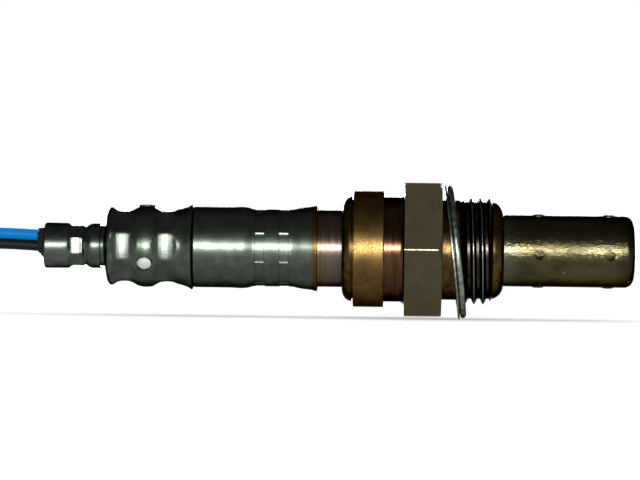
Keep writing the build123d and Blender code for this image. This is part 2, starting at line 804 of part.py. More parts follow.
def make_connector_boot():
    """Rubber boot from the round sleeving to the connector's back."""
    rear = Plane(origin=(CONNECTOR_REAR - 9, 0, 0), x_dir=(0, 1, 0), z_dir=(1, 0, 0))
    middle = Plane(origin=(CONNECTOR_REAR - 4, 0, 0), x_dir=(0, 1, 0), z_dir=(1, 0, 0))
    cone = loft([rear * RectangleRounded(7.0, 7.0, 3.2), middle * RectangleRounded(13.6, 10.4, 3.2)])
    skirt = rounded_bar(CONNECTOR_REAR - 4, 4, 13.6, 10.4, 3.2)
    boot = at_connector(cone + skirt)
    return boot - tube_along(LEAD_TAIL_ROUTE, SLEEVING_RADIUS + SLIP)


def make_connector_housing():
    """Four-way housing: rear body with ribs, nose with four terminal cavities, and a spring latch on top."""
    straight = CONNECTOR_LENGTH - NOSE_LENGTH
    body = rounded_bar(CONNECTOR_REAR, straight, CONNECTOR_WIDTH, CONNECTOR_HEIGHT, 2.0)
    nose = rounded_bar(CONNECTOR_REAR, CONNECTOR_LENGTH, NOSE_WIDTH, NOSE_HEIGHT, 1.4)
    top = CONNECTOR_HEIGHT / 2
    ribs = [
        Pos(CONNECTOR_REAR + 8, side * (CONNECTOR_WIDTH / 2 + 0.3), level) * Box(14, 0.8, 1.2)
        for side in (-1, 1)
        for level in (-2.6, 2.6)
    ]
    latch_base = Pos(CONNECTOR_REAR + 14, 0, top + 0.5) * Box(3, 5.5, 1.4)
    latch_arm = Pos(CONNECTOR_REAR + 8, 0, top + 1.4) * Box(15, 5.5, 1.0)
    latch_catch = Pos(CONNECTOR_REAR + 6, 0, top + 2.1) * Box(2.2, 5.5, 0.6)
    latch_pad = Pos(CONNECTOR_REAR + 1.3, 0, top + 2.2) * Box(2.6, 6.5, 0.8)
    housing = body + nose + ribs + latch_base + latch_arm + latch_catch + latch_pad
    cavities = []
    for y, z in CAVITY_PLACES:
        cavities.append(Pos(CONNECTOR_REAR + 9.9, y, z) * Box(20, 3.1, 2.7))
        cavities.append(Pos(CONNECTOR_REAR + 21, y, z) * Box(6, 2.0, 1.4))
    return at_connector(housing - cavities)


def make_connector_seal():
    """Ribbed silicone ring round the root of the nose."""
    root = CONNECTOR_REAR + CONNECTOR_LENGTH - NOSE_LENGTH + SLIP
    hole = rounded_bar(root - 1, 5, NOSE_WIDTH + 0.04, NOSE_HEIGHT + 0.04, 1.4)
    low = rounded_bar(root, 2.6, NOSE_WIDTH + 1.4, NOSE_HEIGHT + 1.4, 2.0)
    ribs = [rounded_bar(root + 0.3 + 1.3 * number, 0.6, 15.0, 10.8, 2.4) for number in range(2)]
    return at_connector(low + ribs - hole)


def make_connector_lock():
    """Front plate that locks the terminals, with a hole for each."""
    front = CONNECTOR_REAR + CONNECTOR_LENGTH + SLIP
    plate = rounded_bar(front, 1.2, NOSE_WIDTH - 0.6, NOSE_HEIGHT - 0.6, 1.1)
    holes = [Pos(front, y, z) * Box(4, 2.0, 1.4) for y, z in CAVITY_PLACES]
    return at_connector(plate - holes)


def make_connector_terminals():
    """Four female terminals: a box that takes the blade, and a crimp barrel behind it."""
    box = Pos(CONNECTOR_REAR + 15.5, 0, 0) * (Box(8, 2.6, 2.2) - Box(9, 2.0, 1.5))
    barrel = along_x(CONNECTOR_REAR + 2, 1.2, 7) - along_x(CONNECTOR_REAR + 1, 0.85, 9)
    web = Pos(CONNECTOR_REAR + 10.3, 0, -0.95) * Box(4.4, 1.6, 0.3)
    terminal = box + barrel + web
    return at_connector(Compound(children=[Pos(0, y, z) * terminal for y, z in CAVITY_PLACES]))


# ---------------------------------------------------------------------------------------------
# Write one STEP for each piece
# ---------------------------------------------------------------------------------------------

pieces = {
    "hex_housing": make_hex_housing(),
    "seat_gasket": make_seat_gasket(),
    "outer_tip_cover": make_outer_tip_cover(),
    "inner_tip_cover": make_inner_tip_cover(),
    "zirconia_cup": make_zirconia_cup(),
    "heater_rod": make_heater_rod(),
    "cup_seat_washer": make_cup_seat_washer(),
    "talc_seal": make_talc_seal(),
    "packing_insulator": make_packing_insulator(),
    "caulking_ring": make_caulking_ring(),
    "neck_cover": make_neck_cover(),
    "main_sleeve": make_main_sleeve(),
    "vent_cover": make_vent_cover(),
    "vent_filter": make_vent_filter(),
    "bush_ferrule": make_bush_ferrule(),
    "wire_bush": make_wire_bush(),
    "lead_insulator": make_lead_insulator(),
    "disc_spring": make_disc_spring(),
    "signal_contact": make_signal_contact(),
    "ground_contact": make_ground_contact(),
    "heater_terminal_1": make_heater_terminal("wire_black_1"),
    "heater_terminal_2": make_heater_terminal("wire_black_2"),
    "sleeve_end_band": make_sleeve_end_band(),
    "lead_run": make_lead("lead_run", LEAD_RUN_ROUTE),
    "lead_hank": make_lead("lead_hank", LEAD_HANK_ROUTE),
    "lead_tail": make_lead("lead_tail", LEAD_TAIL_ROUTE),
    "hank_tie": make_hank_tie(),
    "connector_boot": make_connector_boot(),
    "connector_housing": make_connector_housing(),
    "connector_seal": make_connector_seal(),
    "connector_lock": make_connector_lock(),
    "connector_terminals": make_connector_terminals(),
}
for wire in WIRES:
    pieces[wire] = cord(wire, wire_route(wire), WIRE_RADIUS)

for node, shape in pieces.items():
    export_step(shape, f"parts/{node}.step")
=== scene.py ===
"""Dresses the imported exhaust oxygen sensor: the looks of its pieces, its lead, the stage and the camera."""

import math

import bmesh
import bpy
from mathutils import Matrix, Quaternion, Vector


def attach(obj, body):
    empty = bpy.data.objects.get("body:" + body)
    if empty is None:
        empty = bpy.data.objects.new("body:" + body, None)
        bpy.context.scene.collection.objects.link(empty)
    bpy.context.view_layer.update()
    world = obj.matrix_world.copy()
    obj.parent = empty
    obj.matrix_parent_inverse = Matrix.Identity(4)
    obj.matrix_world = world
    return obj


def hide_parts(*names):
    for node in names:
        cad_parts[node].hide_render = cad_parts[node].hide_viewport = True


bl_info = {
    "name": "Exhaust oxygen sensor",
    "version": (1, 0, 0),
    "blender": (4, 5, 0),
    "location": "View3D > Sidebar > Sensor",
    "description": "Models the looks of a heated exhaust oxygen sensor on its CAD frame",
    "category": "Add Mesh",
}

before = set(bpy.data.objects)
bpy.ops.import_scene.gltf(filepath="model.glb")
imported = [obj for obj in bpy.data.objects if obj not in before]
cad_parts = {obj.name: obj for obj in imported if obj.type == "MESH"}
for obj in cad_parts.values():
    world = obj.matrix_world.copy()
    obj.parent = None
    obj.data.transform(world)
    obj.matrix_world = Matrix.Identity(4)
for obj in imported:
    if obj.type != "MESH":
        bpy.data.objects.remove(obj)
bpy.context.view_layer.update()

MM = 0.001
FLOOR = -11.5  # the sensor rests on the gasket's rim and on its lead
JAWS = 8  # of the tools that crimp the covers
RING = 144  # vertices round a turned piece: it divides into six flats and into eight
BEVEL_FULL = 0.5  # what a bevel weight of 1 means, in mm
SMOOTH_ANGLE = math.radians(32)
PER_MM = (1 / MM, 1 / MM, 1 / MM)  # brings a pattern's coordinates from metres to mm
TOUCH = 0.01  # how far a test on a face or an edge reaches past it, in mm
JUST_OVER = 1e-8  # what stands this far over a pressed flat, in metres, is already level with it
ARC_STEP = 0.22  # length of a straight run in a rounded corner, in mm
YARN_PITCH = 2.0  # distance between crossings of the sleeving's braid, in mm


# ---- Tools of the bench: turning, pressing, cutting and finishing ----


def clear_selection():
    """Leaves edit mode, and leaves nothing selected."""
    if bpy.context.object and bpy.context.object.mode != "OBJECT":
        bpy.ops.object.mode_set(mode="OBJECT")
    bpy.ops.object.select_all(action="DESELECT")


def pick(piece):
    """Leaves edit mode, with this piece active and nothing else selected."""
    clear_selection()
    piece.select_set(True)
    bpy.context.view_layer.objects.active = piece


def settle(piece, name):
    """Names a new piece and puts its place, turn and size into its mesh."""
    piece.name = name
    piece.data.name = name
    bpy.ops.object.transform_apply(location=True, rotation=True, scale=True)
    return piece


def edit(piece):
    """Opens a piece in edit mode with nothing else selected."""
    pick(piece)
    bpy.ops.object.mode_set(mode="EDIT")
    bpy.ops.mesh.select_mode(type="VERT")


def select(piece, kind, wanted):
    """In edit mode, selects the wanted vertices ("VERT"), edges ("EDGE") or faces ("FACE")."""
    bpy.ops.mesh.select_mode(type=kind)
    bpy.ops.mesh.select_all(action="DESELECT")
    mesh = bmesh.from_edit_mesh(piece.data)
    for part in {"VERT": mesh.verts, "EDGE": mesh.edges, "FACE": mesh.faces}[kind]:
        if wanted(part):
            part.select_set(True)
    mesh.select_flush_mode()
    bmesh.update_edit_mesh(piece.data)


def select_places(piece, wanted):
    """In edit mode, selects the vertices whose place, in mm, is wanted."""
    select(piece, "VERT", lambda vertex: wanted(vertex.co / MM))


def weigh_selected(bevel):
    """In edit mode, gives the selected edges a bevel of this radius, in mm."""
    bpy.ops.transform.edge_bevelweight(value=bevel / BEVEL_FULL)


def arc_points(start, through, end, steps):
    """Points after start on the circle through three points of a profile."""
    (ax, ay), (bx, by), (cx, cy) = start, through, end
    d = 2 * (ax * (by - cy) + bx * (cy - ay) + cx * (ay - by))
    a2, b2, c2 = ax * ax + ay * ay, bx * bx + by * by, cx * cx + cy * cy
    mx = (a2 * (by - cy) + b2 * (cy - ay) + c2 * (ay - by)) / d
    my = (a2 * (cx - bx) + b2 * (ax - cx) + c2 * (bx - ax)) / d
    radius = math.hypot(ax - mx, ay - my)
    first, middle, last = (math.atan2(y - my, x - mx) for x, y in (start, through, end))
    turn = (last - first) % math.tau
    if (middle - first) % math.tau > turn:
        turn -= math.tau
    angles = [first + turn * number / steps for number in range(1, steps + 1)]
    return [(mx + radius * math.cos(angle), my + radius * math.sin(angle)) for angle in angles]


def outline(steps, fine, spacing):
    """A profile of (x, radius, bevel) in mm. A step is (x, radius), (x, radius, bevel), or two points for an
    arc through the first to the second. Runs inside a fine stretch get a ring at each spacing."""
    profile = []
    for step in steps:
        if isinstance(step[0], tuple):
            start = profile[-1][:2]
            count = max(4, round(math.dist(start, step[1]) / ARC_STEP))
            profile += [(x, radius, 0) for x, radius in arc_points(start, step[0], step[1], count)]
            continue
        x, radius = step[:2]
        if profile and any(low < (x + profile[-1][0]) / 2 < high for low, high in fine):
            x0, radius0 = profile[-1][:2]
            count = max(1, round(abs(x - x0) / spacing))
            for number in range(1, count):
                share = number / count
                profile.append((x0 + (x - x0) * share, radius0 + (radius - radius0) * share, 0))
        profile.append((x, radius, step[2] if len(step) > 2 else 0))
    return profile


def turn_profile(name, *steps, closed=False, cap_start=False, cap_end=False, fine=(), spacing=0.2):
    """Turns the outline of these steps round the X axis: a circle, extruded and resized from station to
    station. A closed outline's last ring is bridged to its first."""
    clear_selection()
    profile = outline(steps, fine, spacing)
    x, radius = profile[0][:2]
    bpy.ops.mesh.primitive_circle_add(
        vertices=RING, radius=radius * MM, location=(x * MM, 0, 0), rotation=(0, math.pi / 2, 0)
    )
    piece = settle(bpy.context.object, name)
    edit(piece)
    bpy.ops.mesh.select_all(action="SELECT")
    for (x0, radius0, _), (x1, radius1, _) in zip(profile, profile[1:]):
        bpy.ops.mesh.extrude_region_move(TRANSFORM_OT_translate={"value": ((x1 - x0) * MM, 0, 0)})
        share = radius1 / radius0
        bpy.ops.transform.resize(value=(1, share, share), center_override=(x1 * MM, 0, 0))
    last = len(profile) - 1
    if closed:
        select_rings(piece, 0, last)
        bpy.ops.mesh.bridge_edge_loops()
    for ring, capped in ((0, cap_start), (last, cap_end)):
        if capped:
            select_rings(piece, ring)
            bpy.ops.mesh.edge_face_add()
    for number, (_, _, bevel) in enumerate(profile):
        if bevel:
            round_ring(piece, number, bevel)
    bpy.ops.mesh.select_mode(type="VERT")
    bpy.ops.mesh.select_all(action="SELECT")
    bpy.ops.mesh.normals_make_consistent(inside=False)
    bpy.ops.object.mode_set(mode="OBJECT")
    return piece


def select_rings(piece, *rings):
    """In edit mode, selects whole rings of a piece that turn_profile has just made, by their number."""
    select(piece, "VERT", lambda vertex: vertex.index // RING in rings)


def round_ring(piece, ring, bevel):
    """In edit mode, gives a ring's edges a bevel, in mm."""
    select(piece, "EDGE", lambda edge: {vertex.index // RING for vertex in edge.verts} == {ring})
    weigh_selected(bevel)


def press_flats(piece, count, reach, height, crown=0.0):
    """Presses flats on a turned piece: what stands higher than height(x) in a ring goes down to it, on each
    of count sides. Reach is the stretch of x, in mm, that the tool covers, and crown the share of the height
    that springs back."""
    edit(piece)
    mesh = bmesh.from_edit_mesh(piece.data)
    rings = {}
    for vertex in mesh.verts:
        x = vertex.co.x / MM
        if reach[0] <= x <= reach[1]:
            rings.setdefault(round(x, 4), []).append(vertex)
    side = math.tau / count
    for _ in range(count):
        for x, ring in rings.items():
            level = height(x) * MM
            high = [vertex for vertex in ring if vertex.co.z > level + JUST_OVER]
            if not high:
                continue
            bpy.ops.mesh.select_all(action="DESELECT")
            for vertex in high:
                vertex.select = True
            bpy.ops.transform.resize(value=(1, 1, crown), center_override=(0, 0, level))
        bpy.ops.mesh.select_all(action="SELECT")
        bpy.ops.transform.rotate(value=side, orient_axis="X", center_override=(0, 0, 0))
    bpy.ops.object.mode_set(mode="OBJECT")


def crimp(piece, x, flat, land, edge, soften=1, crown=0.0):
    """Eight jaws press flats at x, flat away from the axis. A jaw's face is level over land on each side of
    its middle, and its edges are rounded to the radius edge. Soften is how often the sheet is smoothed."""
    half = land + edge
    bent = half + 0.25  # the sheet beside a jaw bends with it

    def height(place):
        out = max(abs(place - x) - land, 0)
        return flat + edge - math.sqrt(max(edge**2 - out**2, 0))

    press_flats(piece, JAWS, (x - half, x + half), height, crown)
    edit(piece)
    select_places(piece, lambda place: abs(place.x - x) < bent)
    bpy.ops.mesh.vertices_smooth(factor=0.5, repeat=soften)
    bpy.ops.object.mode_set(mode="OBJECT")


def apply_modifier(piece, kind, **settings):
    """Adds a modifier with these settings and applies it."""
    pick(piece)
    modifier = piece.modifiers.new(kind, kind)
    for name, value in settings.items():
        setattr(modifier, name, value)
    bpy.ops.object.modifier_apply(modifier=modifier.name)


def bevel_weighted(piece, segments=3):
    """Rounds the edges that carry a bevel weight."""
    settings = {"segments": segments, "limit_method": "WEIGHT", "use_clamp_overlap": False}
    apply_modifier(piece, "BEVEL", width=BEVEL_FULL * MM, **settings)


def wall(piece, thickness, rim_bevel=0.05):
    """Gives a drawn shell its wall, inwards, and breaks its rims' edges."""
    apply_modifier(piece, "SOLIDIFY", thickness=thickness * MM, offset=-1, use_even_offset=True)
    settings = {"segments": 2, "limit_method": "ANGLE", "angle_limit": math.radians(62)}
    apply_modifier(piece, "BEVEL", width=rim_bevel * MM, **settings)


def combine(piece, other, operation="DIFFERENCE"):
    """Cuts another piece out of this one, or joins or crosses them, and removes the other."""
    apply_modifier(piece, "BOOLEAN", object=other, operation=operation, solver="EXACT")
    pick(other)
    bpy.ops.object.delete()


def radial_pin(x, radius, low, high, turn, sides=48, bevel=0):
    """A round pin that stands out from the axis at x, from low to high. Turn 0 points at -Y, and 90 at +Z."""
    clear_selection()
    out = Vector((0, -math.cos(math.radians(turn)), math.sin(math.radians(turn))))
    middle = out * (low + high) / 2 + Vector((x, 0, 0))
    bpy.ops.mesh.primitive_cylinder_add(
        vertices=sides,
        radius=radius * MM,
        depth=(high - low) * MM,
        location=middle * MM,
        rotation=(math.radians(90 - turn), 0, 0),
    )
    pin = settle(bpy.context.object, "pin")
    if bevel:
        edit(pin)
        top = high - TOUCH
        select_places(pin, lambda place: place.dot(out) > top)
        bpy.ops.mesh.bevel(offset=bevel * MM, segments=3, affect="EDGES")
        bpy.ops.object.mode_set(mode="OBJECT")
    return pin


def shade(piece, machined=True):
    """Smooth shading, with sharp edges kept crisp. On a machined piece a long straight run keeps its own
    shading up to its ends."""
    pick(piece)
    bpy.ops.object.shade_smooth_by_angle(angle=SMOOTH_ANGLE)
    if machined:
        apply_modifier(piece, "WEIGHTED_NORMAL", keep_sharp=True)
    return piece


# ---- Materials ----

METAL = {"Metallic": 1.0}
OXIDISED = {**METAL, "Specular Tint": (0.12, 0.12, 0.12, 1.0)}  # its film darkens steel at grazing angles


def colour(text):
    """A linear colour with alpha from an sRGB hex value such as #8A8C80."""
    shares = [int(text[place : place + 2], 16) / 255 for place in (1, 3, 5)]
    linear = [share / 12.92 if share <= 0.04045 else ((share + 0.055) / 1.055) ** 2.4 for share in shares]
    return (*linear, 1.0)


def dimmed(tint, share):
    """A share of a colour's light."""
    return (*(value * share for value in tint[:3]), 1.0)


def add(tree, kind, inputs=None, stops=(), **settings):
    """Adds a node with its settings. An input, named or numbered, takes a value, a socket, or a node, which
    gives its first output. Stops are a colour ramp's places and hex colours."""
    made = tree.nodes.new(kind)
    for name, value in settings.items():
        setattr(made, name, value)
    for name, value in (inputs or {}).items():
        if isinstance(name, int):
            socket = made.inputs[name]
        else:
            socket = next(one for one in made.inputs if one.enabled and one.name == name)
        if isinstance(value, bpy.types.Node):
            value = next(one for one in value.outputs if one.enabled)
        if isinstance(value, bpy.types.NodeSocket):
            tree.links.new(value, socket)
        else:
            socket.default_value = value
    for number, (place, tint) in enumerate(stops):
        elements = made.color_ramp.elements
        stop = elements[number] if number < 2 else elements.new(place)
        stop.position = place
        stop.color = colour(tint)
    return made


def new_material(name, *patterns):
    """A node material with the piece's own coordinates, in mm, and noise patterns, but without a shader. A
    pattern is its grain in mm, its detail and, where it is drawn out, the scale of X, Y and Z. Returns the
    material, its tree, the coordinates and the patterns."""
    material = bpy.data.materials.new(name)
    material.use_nodes = True
    tree = material.node_tree
    tree.nodes.clear()
    metres = add(tree, "ShaderNodeTexCoord").outputs["Object"]
    mm = add(tree, "ShaderNodeMapping", {"Vector": metres, "Scale": PER_MM})
    noises = []
    for grain, detail, *drawn in patterns:
        place = add(tree, "ShaderNodeMapping", {"Vector": mm, "Scale": drawn}) if drawn else mm
        look = {"Vector": place, "Scale": 1 / grain, "Detail": detail}
        noises.append(add(tree, "ShaderNodeTexNoise", look))
    return material, tree, mm, *noises


def lay_over(tree, base, tint, pattern, low, high, most=1.0):
    """Lays a tint over a base: none of it where the pattern is low, and the most of it where it is high."""
    reach = {"Value": pattern, "From Min": low, "From Max": high, "To Max": most}
    share = add(tree, "ShaderNodeMapRange", reach)
    return add(tree, "ShaderNodeMix", {"Factor": share, "A": base, "B": tint}, data_type="RGBA")


def close_material(material, base, rough, relief, sockets):
    """Ends a material at its shader. Rough is a node, or a pattern with the roughness where it is low and
    where it is high. Relief is a pattern with its height in mm. Sockets are the shader's other values."""
    tree = material.node_tree
    if isinstance(rough, tuple):
        pattern, low, high = rough
        reach = {"Value": pattern, "From Min": 0.3, "From Max": 0.7, "To Min": low, "To Max": high}
        rough = add(tree, "ShaderNodeMapRange", reach)
    pattern, height = relief
    bump = add(tree, "ShaderNodeBump", {"Height": pattern, "Distance": height * MM})
    look = {"Base Color": base, "Roughness": rough, "Normal": bump, **sockets}
    add(tree, "ShaderNodeOutputMaterial", {"Surface": add(tree, "ShaderNodeBsdfPrincipled", look)})
    return material


def drawn_stainless():
    """Deep-drawn stainless steel under a thin dark green-grey film: a clear bright line and dark sides, fine
    draw lines along the tube, and a straw-coloured edge beside the hot body."""
    patterns = ((0.22, 3.0, 0.05, 1, 1), (2.2, 4.0), (0.2, 2.0))
    material, tree, mm, lines, clouds, grain = new_material("drawn_stainless_steel", *patterns)
    tints = ((0.35, "#3C423D"), (0.6, "#494F47"), (0.75, "#545951"))
    film = add(tree, "ShaderNodeValToRGB", {"Fac": clouds}, stops=tints)
    specked = lay_over(tree, film, colour("#62665E"), grain, 0.55, 0.8, most=0.5)
    x = add(tree, "ShaderNodeSeparateXYZ", {"Vector": mm}).outputs["X"]
    base = lay_over(tree, specked, colour("#4A3A20"), x, -21.7, -21.1)
    tangent = add(tree, "ShaderNodeTangent", direction_type="RADIAL", axis="X")
    sockets = {**OXIDISED, "Anisotropic": 0.4, "Tangent": tangent}
    return close_material(material, base, (lines, 0.23, 0.28), (lines, 0.0008), sockets)


def heat_tinted_stainless():
    """Stainless tube beside the hot body: polished round, with an oxide that runs from straw to a brown
    violet grey."""
    polished = (0.25, 3.0, 1, 0.06, 0.06)
    material, tree, mm, lines = new_material("heat_tinted_stainless_steel", polished)
    x = add(tree, "ShaderNodeSeparateXYZ", {"Vector": mm}).outputs["X"]
    along = add(tree, "ShaderNodeMapRange", {"Value": x, "From Min": -21.0, "From Max": -16.4})
    tints = ((0.0, "#5E4C30"), (1.0, "#3C332D"), (0.2, "#524437"), (0.55, "#574C43"), (0.85, "#4E4540"))
    oxide = add(tree, "ShaderNodeValToRGB", {"Fac": along}, stops=tints)
    base = lay_over(tree, oxide, colour("#746A62"), lines, 0.4, 0.8, most=0.25)
    return close_material(material, base, (lines, 0.22, 0.3), (lines, 0.003), OXIDISED)


def turned_steel(stain):
    """Turned and plated steel with a golden heat stain: tool lines round it, and a bright speckle where the
    plating has stayed."""
    patterns = ((0.16, 2.0, 1, 0.05, 0.05), (0.22, 3.0), (2.0, 3.0))
    material, tree, _, tool, specks, clouds = new_material("turned_plated_steel", *patterns)
    skin = lay_over(tree, dimmed(stain, 0.6), stain, clouds, 0.35, 0.65)
    base = lay_over(tree, skin, colour("#705A34"), specks, 0.5, 0.72, most=0.7)
    marks = add(tree, "ShaderNodeMix", {"Factor": 0.6, "A": tool, "B": specks})
    tangent = add(tree, "ShaderNodeTangent", direction_type="RADIAL", axis="X")
    sockets = {**OXIDISED, "Anisotropic": 0.6, "Tangent": tangent}
    return close_material(material, base, (specks, 0.34, 0.23), (marks, 0.005), sockets)


def burnt_steel(stain):
    """Turned steel burnt nearly black: the neck, the nose and the rolled lip show gold only in the gloss."""
    patterns = ((0.2, 2.0, 1, 0.05, 0.05), (1.4, 3.0))
    material, tree, _, tool, clouds = new_material("burnt_turned_steel", *patterns)
    base = lay_over(tree, dimmed(stain, 0.4), stain, clouds, 0.35, 0.65)
    return close_material(material, base, (tool, 0.24, 0.34), (tool, 0.003), OXIDISED)


def scaled_groove(scale_tint):
    """The groove that is heated and upset at assembly: smooth red-brown scale with a high gloss."""
    material, tree, _, bands = new_material("heat_scaled_steel", (0.4, 2.0, 1, 0.08, 0.08))
    base = lay_over(tree, dimmed(scale_tint, 0.5), scale_tint, bands, 0.3, 0.7)
    rough = add(tree, "ShaderNodeMapRange", {"Value": bands, "To Min": 0.14, "To Max": 0.22})
    return close_material(material, base, rough, (bands, 0.002), OXIDISED)


def forged_steel(stain):
    """Forged flats under a dull olive-brown oxide: mostly matt, faintly cloudy, with fine pits."""
    material, tree, _, clouds, pits = new_material("forged_oxidised_steel", (3.0, 4.0), (0.3, 3.0))
    base = lay_over(tree, dimmed(stain, 0.8), stain, clouds, 0.35, 0.65)
    sockets = {"Metallic": 0.2, "Specular IOR Level": 0.2}
    return close_material(material, base, (pits, 0.4, 0.55), (pits, 0.01), sockets)


def rubbed_corner():
    """The hexagon's corners, rubbed bright by the spanner: plain steel with a satin gloss."""
    material, tree, _, rubs = new_material("rubbed_steel", (0.4, 2.0))
    base = add(tree, "ShaderNodeValToRGB", {"Fac": rubs}, stops=((0.35, "#6E6A55"), (0.65, "#A5A188")))
    rough = add(tree, "ShaderNodeMapRange", {"Value": rubs, "To Min": 0.3, "To Max": 0.5})
    return close_material(material, base, rough, (rubs, 0.004), METAL)


def rolled_thread(crest_radius):
    """Rolled thread: nearly black heat stain in the roots, and crests rubbed to a dim shine."""
    material, tree, mm, stain = new_material("rolled_thread_steel", (1.2, 3.0))
    flat = add(tree, "ShaderNodeMapping", {"Vector": mm, "Scale": (0, 1, 1)})
    radius = add(tree, "ShaderNodeVectorMath", {0: flat}, operation="LENGTH").outputs["Value"]
    dark = add(tree, "ShaderNodeValToRGB", {"Fac": stain}, stops=((0.35, "#1B1815"), (0.65, "#38322C")))
    base = lay_over(tree, dark, colour("#6C6963"), radius, crest_radius - 0.16, crest_radius - 0.02)
    return close_material(material, base, (stain, 0.18, 0.28), (stain, 0.01), OXIDISED)


def stained_cover(stain):
    """Drawn cover stained by hot exhaust gas: mottled olive brown and wavy, green-grey beside the nose."""
    patterns = ((2.6, 5.0, 0.5, 1, 1), (0.55, 2.5, 0.5, 1, 1))
    material, tree, mm, clouds, waves = new_material("heat_stained_drawn_steel", *patterns)
    waves.inputs["Distortion"].default_value = 1.6
    drops = add(tree, "ShaderNodeTexVoronoi", {"Vector": mm, "Scale": 1 / 3.0, "Randomness": 1.0})
    x = add(tree, "ShaderNodeSeparateXYZ", {"Vector": mm}).outputs["X"]
    film = lay_over(tree, dimmed(stain, 0.45), stain, clouds, 0.32, 0.66)
    cooled = lay_over(tree, film, colour("#4C4F41"), x, 13.2, 10.6, most=0.8)
    burnt = lay_over(tree, cooled, colour("#1E1C15"), x, 29.0, 31.8)
    base = lay_over(tree, burnt, colour("#6E705F"), drops, 0.1, 0.05)
    return close_material(material, base, (clouds, 0.32, 0.17), (waves, 0.05), OXIDISED)


def silicone(name, skin):
    """Silicone wire skin or soft rubber: smooth, a soft gloss, and a trace of dust."""
    material, tree, _, dust, fine = new_material(name, (1.2, 3.0), (0.14, 2.0))
    dusty = [value * 0.85 + 0.004 for value in skin[:3]] + [1.0]
    base = lay_over(tree, skin, dusty, dust, 0.35, 0.65)
    sockets = {"IOR": 1.43, "Specular IOR Level": 0.06}
    return close_material(material, base, (fine, 0.34, 0.5), (fine, 0.008), sockets)


def rolled_strip(name, low, high):
    """Nickel or tinned strip: satin, with rolling lines along it."""
    material, tree, _, lines = new_material(name, (0.2, 2.0, 0.06, 1, 1))
    base = add(tree, "ShaderNodeValToRGB", {"Fac": lines}, stops=((0.3, low), (0.7, high)))
    return close_material(material, base, (lines, 0.24, 0.4), (lines, 0.006), METAL)


def grained(name, low, high, grain, rough, height, sockets):
    """A material whose one pattern, its grain in mm, carries its two tints, its roughness and its relief."""
    material, tree, _, pattern = new_material(name, (grain, 3.0))
    base = add(tree, "ShaderNodeValToRGB", {"Fac": pattern}, stops=((0.35, low), (0.65, high)))
    return close_material(material, base, (pattern, *rough), (pattern, height), sockets)


def plated_strip():
    """Zinc-plated strip steel, pressed smooth: silvery with a green-grey cast."""
    return grained("zinc_plated_strip_steel", "#5C615A", "#858A80", 1.0, (0.26, 0.38), 0.01, OXIDISED)


def fired_ceramic(name, low, high):
    """Fired alumina or zirconia, pressed talc or sintered filter: matt and pale, with a fine grain."""
    return grained(name, low, high, 0.25, (0.55, 0.72), 0.01, {"IOR": 1.77})


def moulded_plastic(name, low, high):
    """Moulded glass-filled nylon, or silicone rubber: a fine spark-eroded grain."""
    return grained(name, low, high, 0.2, (0.42, 0.58), 0.03, {"IOR": 1.52})


def coated_sleeving(length, diameter):
    """Black-coated braided glass sleeving: its yarns cross every 2 mm, over and under, as soft diamonds, with
    painted shade that darkens the dips between them.
    """
    material, tree, _ = new_material("coated_glass_sleeving")
    place = add(tree, "ShaderNodeTexCoord").outputs["UV"]
    split = add(tree, "ShaderNodeSeparateXYZ", {"Vector": place})
    turns = math.tau * length / YARN_PITCH
    yarns = math.tau * round(math.pi * diameter / YARN_PITCH)
    down = add(tree, "ShaderNodeMath", {0: split.outputs["X"], 1: turns}, operation="MULTIPLY")
    across = add(tree, "ShaderNodeMath", {0: split.outputs["Y"], 1: yarns}, operation="MULTIPLY")
    waves = []
    for lean in ("ADD", "SUBTRACT"):
        phase = add(tree, "ShaderNodeMath", {0: down, 1: across}, operation=lean)
        waves.append(add(tree, "ShaderNodeMath", {0: phase}, operation="SINE"))
    weave = add(tree, "ShaderNodeMath", dict(enumerate(waves)), operation="MAXIMUM")
    height = add(tree, "ShaderNodeMapRange", {"Value": weave, "From Min": -1.0, "From Max": 1.0})
    # The colour follows the weave's height: painted shade in the dips between the yarns, lighter on their
    # crossings.
    base = add(tree, "ShaderNodeValToRGB", {"Fac": height}, stops=((0.2, "#0A0B0C"), (0.9, "#242528")))
    return close_material(material, base, 0.55, (height, 0.12), {"IOR": 1.48})


# ---- Settings that a user would change ----


def length_setting(name, description, default):
    """A length, whose default is given in mm."""
    look = {"unit": "LENGTH", "precision": 5}
    return bpy.props.FloatProperty(name=name, description=description, default=default * MM, **look)


def tint_setting(name, description, default):
    """A colour, whose default is an sRGB hex value."""
    look = {"size": 4, "subtype": "COLOR", "min": 0, "max": 1}
    return bpy.props.FloatVectorProperty(name=name, description=description, default=colour(default), **look)


class SensorSizes(bpy.types.PropertyGroup):
    """Sizes of what Blender models on the frame."""

    hexagon_flats: length_setting("Hexagon", "Width across the hexagon's flats", 22.0)
    crest_radius: length_setting("Thread radius", "Radius of the thread's crests", 9.0)
    root_radius: length_setting("Root radius", "Radius of the thread's roots", 8.08)
    pitch: length_setting("Thread pitch", "Distance from one crest to the next", 1.5)
    cover_wall: length_setting("Gas cover wall", "Sheet thickness of the gas cover", 0.45)
    sleeve_wall: length_setting("Sleeve wall", "Sheet thickness of the stepped sleeve", 0.3)
    gasket_tilt: bpy.props.FloatProperty(
        name="Gasket tilt",
        description="How far the loose gasket leans back",
        default=math.radians(6.5),
        subtype="ANGLE",
    )


class SensorFinish(bpy.types.PropertyGroup):
    """Colours of the heat-stained body, the cover and the wires."""

    boss: tint_setting("Boss", "Golden stain of the turned boss", "#523F22")
    burnt: tint_setting("Burnt steel", "Dark golden brown of the lip, the neck and the nose", "#4E3D24")
    groove: tint_setting("Groove", "Copper-brown scale of the caulked groove", "#4E3828")
    hexagon: tint_setting("Hexagon", "Olive-brown stain of the forged flats", "#3F3A27")
    cover: tint_setting("Gas cover", "Exhaust stain of the gas cover", "#48442F")
    blue: tint_setting("Blue wire", "Skin of the blue wire", "#0076C2")
    black: tint_setting("Black wire", "Skin of the black wires", "#10181B")
    white: tint_setting("White wire", "Skin of the white wire", "#DAD9D2")


